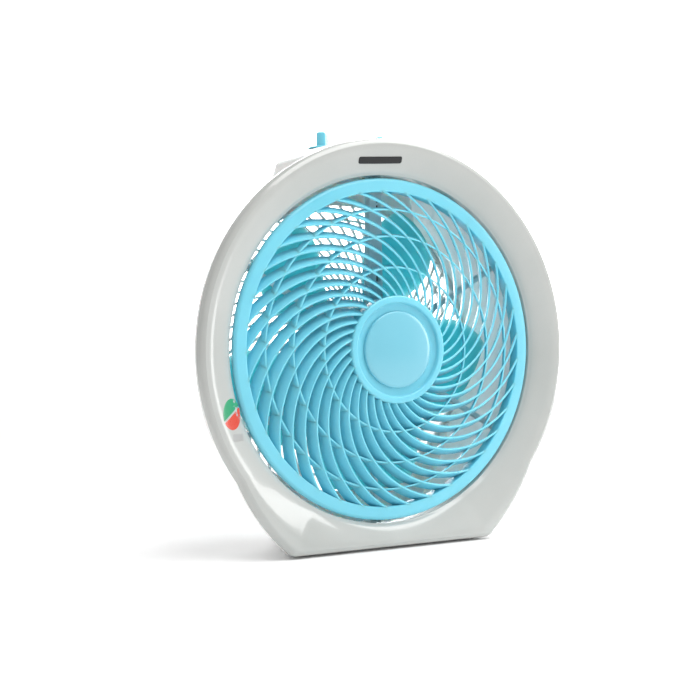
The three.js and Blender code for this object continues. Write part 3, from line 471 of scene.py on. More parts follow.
def turned(profile: Sequence[Point2], segments: int = 96) -> Shape:
    """Turns a profile about the fan's axis.

    Args:
        profile: (radius, depth) points of a closed outline, or from axis to axis.
        segments: steps round the axis.

    Returns:
        The closed shape.
    """
    shape = Shape()
    rows: list[list[int]] = []
    for radius, depth in profile:
        start = len(shape.points)
        if radius < ON_AXIS:
            shape.points.append((0, depth, 0))
            rows.append([start] * segments)
            continue
        for i in range(segments):
            angle = TAU * i / segments
            shape.points.append((radius * math.cos(angle), depth, radius * math.sin(angle)))
        rows.append(list(range(start, start + segments)))
    for here, there in zip(rows, rows[1:] + rows[:1]):
        for i in range(segments):
            j = (i + 1) % segments
            corners = dict.fromkeys((here[i], here[j], there[j], there[i]))
            if len(corners) > 2:
                shape.faces.append(tuple(corners))
    return shape


def lofted(sections: Sequence[Sequence[Point3]], closed: bool = False) -> Shape:
    """Skins a row of equal cross-sections.

    Args:
        sections: the cross-sections, each a closed loop of points.
        closed: whether the last section joins the first.

    Returns:
        The closed shape.
    """
    shape = Shape()
    sides = len(sections[0])
    for section in sections:
        shape.points.extend(tuple(point) for point in section)
    rows = len(sections)
    for row in range(rows if closed else rows - 1):
        here = row * sides
        there = ((row + 1) % rows) * sides
        for side in range(sides):
            after = (side + 1) % sides
            shape.faces.append((here + side, here + after, there + after, there + side))
    if not closed:
        shape.faces.append(tuple(range(sides)))
        shape.faces.append(tuple(range((rows - 1) * sides, rows * sides)))
    return shape


def smooth_path(points: Sequence[Sequence[float]], steps: int) -> list[tuple[float, ...]]:
    """Runs a smooth curve through points.

    Args:
        points: the points, of any number of values each.
        steps: steps between two points.

    Returns:
        Points along the curve.
    """
    rows = np.array(points, float)
    padded = np.vstack([2 * rows[0] - rows[1], rows, 2 * rows[-1] - rows[-2]])
    made = []
    for i in range(1, len(rows)):
        p0, p1, p2, p3 = padded[i - 1 : i + 3]
        for step in range(steps):
            t = step / steps
            made.append(
                0.5
                * (
                    2 * p1
                    + (p2 - p0) * t
                    + (2 * p0 - 5 * p1 + 4 * p2 - p3) * t**2
                    + (3 * p1 - p0 - 3 * p2 + p3) * t**3
                )
            )
    made.append(rows[-1])
    return [tuple(float(value) for value in row) for row in made]


def tube(path: Sequence[Point3], radius: float, sides: int = 16) -> Shape:
    """A round tube along a path.

    Args:
        path: the middle of the tube.
        radius: its radius.
        sides: its facets.

    Returns:
        The closed shape.
    """
    places = [Vector(point) for point in path]
    sections = []
    across = Vector((1, 0, 0))
    for i, place in enumerate(places):
        ahead = places[min(i + 1, len(places) - 1)] - places[max(i - 1, 0)]
        ahead.normalize()
        across = (across - ahead * across.dot(ahead)).normalized()
        up = ahead.cross(across)
        sections.append(
            [
                tuple(
                    place
                    + (across * math.cos(TAU * k / sides) + up * math.sin(TAU * k / sides)) * radius
                )
                for k in range(sides)
            ]
        )
    return lofted(sections)


def drum(radius: float, from_depth: float, to_depth: float, at: Point2, sides: int = 32) -> Shape:
    """A plain round cutter or boss along the axis.

    Args:
        radius: its radius.
        from_depth: where it starts.
        to_depth: where it ends.
        at: its middle, as (x, height).
        sides: its facets.

    Returns:
        The closed shape.
    """
    made = turned([(0, from_depth), (radius, from_depth), (radius, to_depth), (0, to_depth)], sides)
    return Shape().add(made, Matrix.Translation((at[0], 0, at[1])))


def bar(size: Point3, at: Point3, fillet: float = 0.6) -> Shape:
    """A bar with rounded edges along its length.

    Args:
        size: width, depth and height; the height is its length.
        at: its middle.
        fillet: the radius of its long edges.

    Returns:
        The closed shape.
    """
    w, d, h = (value / 2 for value in size)
    loop = rounded([(-w, -d, fillet), (w, -d, fillet), (w, d, fillet), (-w, d, fillet)], 3)
    ends = [(-h, 0.86), (-h + fillet, 1.0), (h - fillet, 1.0), (h, 0.86)]
    sections = [
        [(at[0] + x * grow, at[1] + y * grow, at[2] + height) for x, y in loop]
        for height, grow in ends
    ]
    return lofted(sections)


def polar(radius: float, angle: float, depth: float) -> Point3:
    """A place at a radius and an angle about the axis."""
    return (radius * math.cos(angle), depth, radius * math.sin(angle))


def on_circle(radius: float, degrees: Sequence[float]) -> list[Point2]:
    """The (x, height) places at angles on a circle."""
    return [(radius * math.cos(math.radians(a)), radius * math.sin(math.radians(a))) for a in degrees]


# ------------------------------------------------------------------------------ finishing a piece
@dataclass
class Bench:
    """Turns shapes into finished pieces that ride on the frame."""

    datum: Datum

    def link(self, name: str, mesh: bpy.types.Mesh) -> bpy.types.Object:
        """Puts a mesh into the scene as an object.

        Args:
            name: the object's name.
            mesh: its mesh.

        Returns:
            The object.
        """
        piece = bpy.data.objects.new(name, mesh)
        bpy.context.scene.collection.objects.link(piece)
        return piece

    def cut(
        self, mesh: bpy.types.Mesh, others: Sequence[Shape], how: str = "DIFFERENCE"
    ) -> bpy.types.Mesh:
        """Cuts shapes out of a mesh, or joins them to it.

        Args:
            mesh: the mesh, in millimetres.
            others: the shapes.
            how: the boolean operation's name.

        Returns:
            The new mesh.
        """
        joined = Shape()
        for other in others:
            joined.add(other)
        tool = self.link("tool", joined.mesh("tool"))
        work = self.link("work", mesh)
        modifier = work.modifiers.new("cut", "BOOLEAN")
        modifier.operation = how
        modifier.solver = "MANIFOLD"
        modifier.object = tool
        graph = bpy.context.evaluated_depsgraph_get()
        made = bpy.data.meshes.new_from_object(work.evaluated_get(graph), depsgraph=graph)
        bpy.data.objects.remove(work)
        bpy.data.objects.remove(tool)
        return made

    def finish(
        self,
        name: str,
        shape: Shape | bpy.types.Mesh,
        finish: Finish,
        body: str,
        replaces: Sequence[str] = (),
    ) -> bpy.types.Object:
        """Makes a piece from a shape: in metres, in place, dressed and riding.

        Args:
            name: the piece's name.
            shape: its shape or mesh, in millimetres about the axis.
            finish: its finish.
            body: the body that it moves with.
            replaces: the CAD nodes that it stands for.

        Returns:
            The piece.
        """
        mesh = shape.mesh(name) if isinstance(shape, Shape) else shape
        mesh.transform(self.datum.matrix())
        mesh.materials.clear()
        mesh.materials.append(finish.material())
        mesh.polygons.foreach_set("use_smooth", [True] * len(mesh.polygons))
        mesh.set_sharp_from_angle(angle=SMOOTH_ANGLE)
        mesh.name = name
        piece = self.link(name, mesh)
        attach(piece, body)
        if replaces:
            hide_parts(*replaces)
        LOG.info("%s: %d faces on %s", name, len(mesh.polygons), body)
        return piece

    def dress(self, node: str, finish: Finish) -> None:
        """Gives a CAD node that stays its finish.

        Args:
            node: the node's name.
            finish: its finish.
        """
        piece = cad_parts[node]
        piece.data.materials.clear()
        piece.data.materials.append(finish.material())
        LOG.info("%s: kept, %s", node, finish.name)


# ------------------------------------------------------------------------------ geometry nodes
Socket = bpy.types.NodeSocket
Value = float | int | Socket


class NodeTree:
    """A Geometry Nodes tree with named inputs, built in code and run once into a plain mesh.

    Trees work in millimetres with the axis along local Z, which is the depth turned round.
    """

    def __init__(self, name: str, inputs: dict[str, tuple[str, float | int | None]]) -> None:
        """Starts a tree.

        Args:
            name: the tree's name.
            inputs: each input's socket kind and default.
        """
        self.tree = bpy.data.node_groups.new(name, "GeometryNodeTree")
        face = self.tree.interface
        face.new_socket("Geometry", in_out="INPUT", socket_type="NodeSocketGeometry")
        for label, (kind, default) in inputs.items():
            socket = face.new_socket(label, in_out="INPUT", socket_type="NodeSocket" + kind)
            if default is not None:
                socket.default_value = default
        face.new_socket("Material", in_out="INPUT", socket_type="NodeSocketMaterial")
        face.new_socket("Geometry", in_out="OUTPUT", socket_type="NodeSocketGeometry")
        self.inputs = self.tree.nodes.new("NodeGroupInput").outputs

    def node(self, kind: str, links: dict[str | int, Value], **settings: object) -> bpy.types.Node:
        """Adds a node.

        Args:
            kind: the node's type without its GeometryNode prefix, or a whole type name.
            links: what each input takes, a socket or a number.
            **settings: the node's own options.

        Returns:
            The node.
        """
        whole = kind if kind.startswith(("ShaderNode", "Function")) else "GeometryNode" + kind
        made = self.tree.nodes.new(whole)
        for option, value in settings.items():
            setattr(made, option, value)
        for key, value in links.items():
            if isinstance(value, Socket):
                self.tree.links.new(value, made.inputs[key])
            else:
                made.inputs[key].default_value = value
        return made

    def math(self, operation: str, *values: Value) -> Socket:
        """Adds a math node.

        Args:
            operation: the operation's name.
            *values: what it works on.

        Returns:
            The result.
        """
        links = dict(enumerate(values))
        return self.node("ShaderNodeMath", links, operation=operation).outputs[0]

    def vector(self, x: Value, y: Value, z: Value) -> Socket:
        """Adds a vector made of three values."""
        return self.node("ShaderNodeCombineXYZ", {0: x, 1: y, 2: z}).outputs[0]

    def round_the_axis(self, unit: Socket, count: Value, phase: Value) -> Socket:
        """Repeats a unit evenly round the local Z axis.

        Args:
            unit: the unit's geometry.
            count: how many there are.
            phase: the first one's turn.

        Returns:
            The repeated geometry, still instances.
        """
        single = self.node("GeometryToInstance", {0: unit}).outputs[0]
        copies = self.node(
            "DuplicateElements", {"Geometry": single, "Amount": count}, domain="INSTANCE"
        )
        step = self.math("DIVIDE", TAU, count)
        turn = self.math("MULTIPLY_ADD", copies.outputs["Duplicate Index"], step, phase)
        rotation = self.vector(0.0, 0.0, turn)
        turned_copies = self.node(
            "RotateInstances", {"Instances": copies.outputs["Geometry"], "Rotation": rotation}
        )
        return turned_copies.outputs[0]

    def close(self, geometry: Socket) -> None:
        """Ends the tree in real geometry with its material.

        Args:
            geometry: what the tree made.
        """
        real = self.node("RealizeInstances", {0: geometry}).outputs[0]
        dressed = self.node("SetMaterial", {"Geometry": real, "Material": self.inputs["Material"]})
        output = self.tree.nodes.new("NodeGroupOutput")
        self.tree.links.new(dressed.outputs[0], output.inputs[0])

    def run(self, finish: Finish, values: dict[str, float | int], unit: Shape | None = None) -> Shape:
        """Runs the tree.

        Args:
            finish: the finish that its Set Material node sets.
            values: the value of each named input.
            unit: the shape that the tree repeats, if it takes one.

        Returns:
            The result as a plain shape, with depth along Y again.
        """
        start = (unit or Shape()).mesh("unit")
        start.transform(Matrix.Rotation(-math.pi / 2, 4, "X"))
        holder = bpy.data.objects.new("holder", start)
        bpy.context.scene.collection.objects.link(holder)
        modifier = holder.modifiers.new("nodes", "NODES")
        modifier.node_group = self.tree
        chosen: dict[str, object] = {**values, "Material": finish.material()}
        for item in self.tree.interface.items_tree:
            if item.in_out == "INPUT" and item.name in chosen:
                modifier[item.identifier] = chosen[item.name]
        holder.update_tag()
        graph = bpy.context.evaluated_depsgraph_get()
        made = bpy.data.meshes.new_from_object(holder.evaluated_get(graph), depsgraph=graph)
        holder.modifiers.clear()
        bpy.data.objects.remove(holder)
        made.transform(Matrix.Rotation(math.pi / 2, 4, "X"))
        shape = Shape.of(made)
        bpy.data.meshes.remove(made)
        return shape


class Spiral(Enum):
    """How a bar winds outwards."""

    EVEN = "even"
    LOGARITHMIC = "logarithmic"


def spiral_bars_tree(spiral: Spiral) -> NodeTree:
    """A tree of bars that wind outwards over a dome.

    Args:
        spiral: how they wind.

    Returns:
        The tree, whose inputs size the bars.
    """
    tree = NodeTree(
        "spiral_bars_" + spiral.value,
        {
            "Count": ("Int", 36),
            "Phase": ("Float", 0.0),
            "Inner Radius": ("Float", 50.0),
            "Outer Radius": ("Float", 150.0),
            "Sweep": ("Float", 1.0),
            "Front": ("Float", 0.0),
            "Dome": ("Float", 10.0),
            "Dome Power": ("Float", 1.7),
            "Width": ("Float", 2.4),
            "Depth": ("Float", 10.0),
            "Lean": ("Float", 0.0),
            "Fillet": ("Float", 0.4),
            "Steps": ("Int", 28),
        },
    )
    take = tree.inputs
    line = tree.node("CurvePrimitiveLine", {})
    course = tree.node("ResampleCurve", {"Curve": line.outputs[0], "Count": take["Steps"]})
    along = tree.node("SplineParameter", {}).outputs["Factor"]
    span = tree.math("SUBTRACT", take["Outer Radius"], take["Inner Radius"])
    radius = tree.math("MULTIPLY_ADD", along, span, take["Inner Radius"])
    if spiral is Spiral.EVEN:
        angle = tree.math("MULTIPLY", along, take["Sweep"])
    else:
        grown = tree.math("DIVIDE", radius, take["Inner Radius"])
        natural = tree.math("LOGARITHM", grown, math.e)
        angle = tree.math("MULTIPLY", natural, take["Sweep"])
    rise = tree.math("POWER", along, take["Dome Power"])
    depth = tree.math("MULTIPLY_ADD", rise, take["Dome"], take["Front"])
    place = tree.vector(
        tree.math("MULTIPLY", radius, tree.math("COSINE", angle)),
        tree.math("MULTIPLY", radius, tree.math("SINE", angle)),
        tree.math("MULTIPLY", depth, -1.0),
    )
    moved = tree.node("SetPosition", {"Geometry": course.outputs[0], "Position": place})
    upright = tree.node("SetCurveNormal", {"Curve": moved.outputs[0]}, mode="Z_UP")
    tilted = tree.node("SetCurveTilt", {"Curve": upright.outputs[0], "Tilt": take["Lean"]})
    section = tree.node(
        "CurvePrimitiveQuadrilateral", {"Width": take["Width"], "Height": take["Depth"]}
    )
    soft = tree.node(
        "FilletCurve",
        {"Curve": section.outputs[0], "Radius": take["Fillet"], "Count": 3},
        mode="POLY",
    )
    half = tree.math("MULTIPLY", take["Depth"], 0.5)
    shifted = tree.node(
        "Transform",
        {"Geometry": soft.outputs[0], "Translation": tree.vector(0.0, half, 0.0)},
    )
    skin = tree.node(
        "CurveToMesh",
        {"Curve": tilted.outputs[0], "Profile Curve": shifted.outputs[0], "Fill Caps": True},
    )
    tree.close(tree.round_the_axis(skin.outputs[0], take["Count"], take["Phase"]))
    return tree


def radial_tree() -> NodeTree:
    """A tree that repeats one unit evenly round the axis.

    Returns:
        The tree.
    """
    tree = NodeTree("round_the_axis", {"Count": ("Int", 5), "Phase": ("Float", 0.0)})
    take = tree.inputs
    tree.close(tree.round_the_axis(take["Geometry"], take["Count"], take["Phase"]))
    return tree


# ------------------------------------------------------------------------------ housing
@dataclass(frozen=True)
class Outline:
    """The housing's outline seen from the front, as a radius at every angle.

    Args:
        radius: of the round top.
        half_base: half the width of the flat base.
        drop: from the axis down to the base.
        corner: the radius of the base's corners.
    """

    radius: float
    half_base: float
    drop: float = 189.9
    corner: float = 9.0

    def line(self) -> list[Point2]:
        """The right half of the outline, from the middle of the base to the top.

        Returns:
            Its points.
        """
        middle = Vector((self.half_base - self.corner, self.corner - self.drop))
        lean = math.atan2(middle.y, middle.x) + math.acos(
            (self.radius - self.corner) / middle.length
        )
        points = [(middle.x * i / 12, -self.drop) for i in range(12)]
        for i in range(13):
            angle = -math.pi / 2 + (lean + math.pi / 2) * i / 12
            points.append(
                (middle.x + self.corner * math.cos(angle), middle.y + self.corner * math.sin(angle))
            )
        for i in range(181):
            angle = lean + (math.pi / 2 - lean) * i / 180
            points.append((self.radius * math.cos(angle), self.radius * math.sin(angle)))
        return points

    def radii(self, angles: np.ndarray) -> np.ndarray:
        """The outline's radius at angles.

        Args:
            angles: from -pi/2 up and round, in radians.

        Returns:
            The radii.
        """
        half = np.array(self.line())
        heights = self.fold(angles)
        own = np.arctan2(half[:, 1], half[:, 0])
        return np.interp(heights, own, np.hypot(half[:, 0], half[:, 1]))

    @staticmethod
    def fold(angles: np.ndarray) -> np.ndarray:
        """Mirrors angles into the right half, between -pi/2 and pi/2."""
        return np.arcsin(np.clip(np.sin(angles), -1, 1))


def outline_angles() -> np.ndarray:
    """Angles round the housing, closer together at its corners and at the deck.

    Returns:
        The angles in radians, from straight down and round to the right.
    """
    base = np.linspace(-math.pi / 2, math.pi / 2, 1441)
    weight = np.ones_like(base)
    for middle, width, gain in ((-1.022, 0.035, 9.0), (1.13, 0.10, 5.0), (1.36, 0.12, 1.5)):
        weight += gain * np.exp(-(((base - middle) / width) ** 2))
    total = np.concatenate([[0], np.cumsum((weight[1:] + weight[:-1]) / 2)])
    right = np.interp(np.linspace(0, total[-1], 181), total, base)
    return np.concatenate([right, math.pi - right[-2:0:-1]])


@dataclass
class FrontShell:
    """The glossy front shell with the round opening that the grille turns in."""

    bench: Bench
    outline: Outline = Outline(201.8, 115.8)
    duct: float = 168.0
    lip: float = 19.0
    front: float = 6.0
    parting: float = 16.0
    duct_back: float = 39.0
    wall: float = 2.5
    boss: float = 5.0

    def face_rows(self) -> list[tuple[float, ...]]:
        """The face from the lip out to the edge.

        Returns:
            Rows of (blend from duct to outline, offset, depth).
        """
        bulge = self.lip - self.front
        return smooth_path(
            [
                (0.0, 0.9, self.lip - 0.15),
                (0.12, 0.0, self.lip - bulge * 0.25),
                (0.30, 0.0, self.lip - bulge * 0.52),
                (0.62, 0.0, self.lip - bulge * 0.88),
                (0.82, -0.5, self.front + 0.15),
                (1.0, -4.6, self.front + 0.15),
                (1.0, -1.3, self.front + 2.4),
                (1.0, 0.0, self.front + 6.2),
            ],
            6,
        )

    def section(self) -> list[tuple[float, ...]]:
        """The whole section of the wall.

        Returns:
            Rows of (blend from duct to outline, offset, depth).
        """
        bulge = self.lip - self.front
        inner = smooth_path(
            [
                (1.0, -self.wall, self.front + 7.5),
                (0.96, -5.0, self.front + self.wall + 0.8),
                (0.62, 0.0, self.lip - bulge * 0.82 + self.wall),
                (0.30, 0.0, self.lip - bulge * 0.45 + self.wall),
                (0.0, self.wall, self.lip + self.wall),
            ],
            4,
        )
        return [
            (0.0, 0.0, self.duct_back - 0.4),
            (0.0, 0.0, self.lip + 1.2),
            (0.0, 0.15, self.lip + 0.5),
            (0.0, 0.45, self.lip + 0.1),
            *self.face_rows(),
            (1.0, 0.0, self.parting - 0.5),
            (1.0, -0.4, self.parting),
            (1.0, -self.wall, self.parting),
            *inner,
            (0.0, self.wall, self.duct_back),
            (0.0, 0.4, self.duct_back),
        ]

    def ring(self) -> Shape:
        """The shell's wall, skinned round the outline.

        Returns:
            The closed shape.
        """
        angles = outline_angles()
        rim = self.outline.radii(angles)
        sections = []
        for angle, reach in zip(angles, rim):
            loop = []
            for blend, offset, depth in self.section():
                radius = self.duct + (reach - self.duct) * blend + offset
                loop.append(polar(radius, angle, depth))
            sections.append(loop)
        return lofted(sections, closed=True)

    def build(self) -> None:
        """Makes the shell and the bosses behind it."""
        shape = self.ring()
        for place in on_circle(PAD_CIRCLE, PAD_ANGLES):
            shape.add(drum(self.boss, self.lip + 0.5, self.duct_back, place, 20))
        for place in on_circle(SHELL_SCREW_CIRCLE, SHELL_SCREW_ANGLES):
            shape.add(drum(self.boss, self.front + 6.6, self.parting + 14, place, 20))
        # The bezel's finish carries painted shade in its darkened grey colour.
        self.bench.finish("bezel_shell", shape, GLOSS_WHITE_PAINTED_SHADE, "housing", ["front_bezel"])


@dataclass
class RearShell:
    """The white rear shell, which swells into the deck that carries the knobs."""

    bench: Bench
    front: float = 16.3
    flange: float = 22.0
    taper_end: float = 85.7
    back: float = 117.4
    opening: float = 151.3
    wall: float = 2.5
    blend: float = 5.0
    edge: float = 4.0
    well: float = 4.4
    well_wall: float = 1.6
    screw_hole: float = 2.2
    floor: float = 4.0

    def body_radius(self, angles: np.ndarray, depth: float) -> np.ndarray:
        """The tapering body's radius at angles and a depth.

        Args:
            angles: round the axis.
            depth: back from the front.

        Returns:
            The radii.
        """
        stations = [
            (self.front, 201.3, 115.8),
            (self.flange, 200.9, 115.0),
            (self.taper_end, 158.0, 74.0),
            (self.back - 3.0, 156.5, 71.0),
            (self.back, 156.2, 70.6),
        ]
        depths = [row[0] for row in stations]
        radius = float(np.interp(depth, depths, [row[1] for row in stations]))
        half = float(np.interp(depth, depths, [row[2] for row in stations]))
        return Outline(radius, half).radii(angles)

    @staticmethod
    def deck_radius(angles: np.ndarray) -> np.ndarray:
        """The deck's radius at angles, and nothing away from it.

        Args:
            angles: round the axis.

        Returns:
            The radii.
        """
        shoulder = smooth_path([(42.0, 199.0), (49.0, 198.2), (58.0, 195.3), (66.0, 191.0)], 8)
        end = rounded([(66.0, 191.0, 0), (75.5, 186.5, 9.0), (77.0, 60.0, 0)], 8, closed=False)
        half = [(0.01, 199.0), (20.0, 199.0), (34.0, 199.0), *shoulder, *end[1:]]
        points = np.array(half[::-1])
        own = np.arctan2(points[:, 1], points[:, 0])
        folded = Outline.fold(angles)
        radii = np.interp(folded, own, np.hypot(points[:, 0], points[:, 1]))
        return np.where(folded > own[0] + 0.02, radii, 0.0)

    def radius(self, angles: np.ndarray, depth: float, inset: float) -> np.ndarray:
        """The shell's radius, body and deck together.

        Args:
            angles: round the axis.
            depth: back from the front.
            inset: how far inside the surface.

        Returns:
            The radii.
        """
        body = self.body_radius(angles, depth)
        start, run, sink = self.front + 2.0, 6.0, 4.0
        rise = float(np.clip((depth - start) / run, 0, 1))
        rise = rise * rise * (3 - 2 * rise)
        deck = np.where(rise > 0, self.deck_radius(angles) - sink * (1 - rise), 0.0)
        closeness = np.clip(self.blend - np.abs(body - deck), 0, None) / self.blend
        together = np.maximum(body, deck) + closeness**2 * self.blend / 4 * rise
        limit = np.maximum(body, np.maximum(deck, 0))
        together = np.where(depth < self.flange + 8, np.minimum(together, limit + 0.6), together)
        return together - inset

    def section_rows(self) -> list[tuple[float, float, float | None]]:
        """The section as (depth, inset, radius where it doesn't follow the outline).

        Returns:
            Rows of those three values.
        """
        outer = [
            (self.front, 0.5, None),
            (self.front + 0.4, 0.0, None),
            *[(float(d), 0.0, None) for d in np.linspace(self.front + 1.5, self.flange, 4)],
            *[(float(d), 0.0, None) for d in np.linspace(self.flange + 1.5, self.back - 5.0, 34)],
        ]
        for i in range(1, 7):
            turn = i / 6 * math.pi / 2
            inset = self.edge * (1 - math.cos(turn))
            outer.append((self.back - self.edge + self.edge * math.sin(turn), inset, None))
        outer[-1] = (self.back, self.edge, None)
        rear = [(self.back, 0.0, self.opening + 1.2), (self.back - 0.5, 0.0, self.opening)]
        rear.append((self.back - 6.5, 0.0, self.opening))
        inner = [(self.back - 6.5, self.wall + 0.4, None)]
        inner += [
            (float(d), self.wall, None) for d in np.linspace(self.back - 8.0, self.front + 1.5, 26)
        ]
        inner.append((self.front, self.wall, None))
        return outer + rear + inner

    def ring(self) -> Shape:
        """The shell's wall, skinned round the outline.

        Returns:
            The closed shape.
        """
        angles = outline_angles()
        rows = self.section_rows()
        columns = []
        for depth, inset, fixed in rows:
            if fixed is None:
                columns.append(self.radius(angles, depth, inset))
            else:
                columns.append(np.full_like(angles, fixed))
        sections = [
            [polar(float(columns[j][i]), float(angle), rows[j][0]) for j in range(len(rows))]
            for i, angle in enumerate(angles)
        ]
        return lofted(sections, closed=True)

    def build(self) -> None:
        """Makes the shell with the wells that its screws sit in."""
        places = on_circle(SHELL_SCREW_CIRCLE, SHELL_SCREW_ANGLES)
        seat = self.front + 14.0
        wells = [drum(self.well, seat + self.floor, self.back, place) for place in places]
        mesh = self.bench.cut(self.ring().mesh("shell"), wells)
        shape = Shape.of(mesh)
        for place in places:
            shape.add(self.well_shape(place, seat))
        self.bench.finish("rear_housing", shape, WHITE_SATIN, "housing", ["rear_shell"])

    def well_shape(self, at: Point2, seat: float) -> Shape:
        """The round wall of one screw well, ending under the shell's skin.

        Args:
            at: its middle, as (x, height).
            seat: the depth where the well starts.

        Returns:
            The closed shape.
        """
        sides = 28
        shape = Shape()
        outside = self.well + self.well_wall
        top = seat + self.floor
        rings = [
            (self.screw_hole, seat),
            (outside, seat),
            (outside, None),
            (self.well, None),
            (self.well, top),
            (self.screw_hole, top),
        ]
        for row, (radius, level) in enumerate(rings):
            for k in range(sides):
                turn = TAU * k / sides
                x = at[0] + radius * math.cos(turn)
                height = at[1] + radius * math.sin(turn)
                depth = self.skin_depth(x, height) - 1.2 if level is None else level
                shape.points.append((x, depth, height))
                j = (k + 1) % sides
                there = (row + 1) % len(rings) * sides
                here = row * sides
                shape.faces.append((here + k, here + j, there + j, there + k))
        return shape

    def skin_depth(self, x: float, height: float) -> float:
        """The depth at which the shell's skin passes over a place.

        Args:
            x: the place's x.
            height: its height above the axis.

        Returns:
            The depth.
        """
        reach = math.hypot(x, height)
        angle = np.array([math.atan2(height, x)])
        low, high = self.flange, self.back - 5.0
        for _ in range(20):
            middle = (low + high) / 2
            if float(self.radius(angle, middle, 0.0)[0]) > reach:
                low = middle
            else:
                high = middle
        return low


@dataclass
class RearGuard:
    """The domed guard of swirled slats that closes the back and carries the motor."""

    bench: Bench
    slats: int = 62
    swirl: float = math.radians(39)
    plate: float = 47.0
    rim: float = 151.0
    back: float = 130.4
    rim_back: float = 117.4
    dome: float = 13.0
    dome_power: float = 1.8
    hoop: float = 133.0

    def face_depth(self, radius: float) -> float:
        """How far back the guard's rear face lies at a radius.

        Args:
            radius: the radius.

        Returns:
            The depth.
        """
        share = max((radius - self.plate) / (self.rim - self.plate), 0.0)
        return self.back - self.dome * share**self.dome_power

    def slat_shape(self) -> Shape:
        """All the slats, wound outwards over the dome.

        Returns:
            The slats as one shape.
        """
        return spiral_bars_tree(Spiral.LOGARITHMIC).run(
            WHITE_SATIN,
            {
                "Count": self.slats,
                "Phase": 0.02,
                "Inner Radius": self.plate - 1.5,
                "Outer Radius": self.rim - 3.0,
                "Sweep": math.tan(self.swirl),
                "Front": self.back - 5.0,
                "Dome": -self.dome * 0.96,
                "Dome Power": self.dome_power,
                "Width": 2.3,
                "Depth": 4.4,
                "Fillet": 0.9,
                "Steps": 20,
            },
        )

    def build(self) -> None:
        """Makes the plate, rim, hoop and slats as one piece."""
        shape = self.slat_shape()
        shape.add(self.plate_shape())
        shape.add(self.band(self.rim - 4.0, self.rim, self.rim_back - 6.0, self.rim_back - 0.1))
        depth = self.face_depth(self.hoop)
        shape.add(self.band(self.hoop - 1.1, self.hoop + 1.1, depth - 5.6, depth - 0.7))
        self.bench.finish("guard_slats", shape, WHITE_SATIN, "housing", ["rear_guard"])

    def plate_shape(self) -> Shape:
        """The round plate with a shallow groove and a well for each motor screw.

        Returns:
            The closed shape.
        """
        b = self.back
        edge = rounded(
            [
                (self.plate - 1.5, b - 5.8, 0.8),
                (self.plate, b - 5.8, 0.8),
                (self.plate, b, 1.8),
                (self.plate - 9.0, b, 0.8),
                (self.plate - 10.0, b - 0.9, 0.8),
                (self.plate - 13.0, b - 0.9, 0.8),
                (self.plate - 14.0, b, 0.8),
                (self.plate - 16.0, b, 0),
            ],
            4,
            closed=False,
        )
        mesh = turned([(0, b - 5.8), *edge, (0, b)], 120).mesh("plate")
        places = on_circle(MOTOR_SCREW_CIRCLE, MOTOR_SCREW_ANGLES)
        wells = [drum(4.3, b - 3.0, b + 2, place, 24) for place in places]
        return Shape.of(self.bench.cut(mesh, wells))

    @staticmethod
    def band(inner: float, outer: float, front: float, back: float) -> Shape:
        """A round band with soft edges.

        Args:
            inner: its inner radius.
            outer: its outer radius.
            front: the depth where it starts.
            back: the depth where it ends.

        Returns:
            The closed shape.
        """
        corners = [(inner, front, 0.6), (outer, front, 0.6), (outer, back, 0.8), (inner, back, 0.8)]
        return turned(rounded(corners, 3), 160)


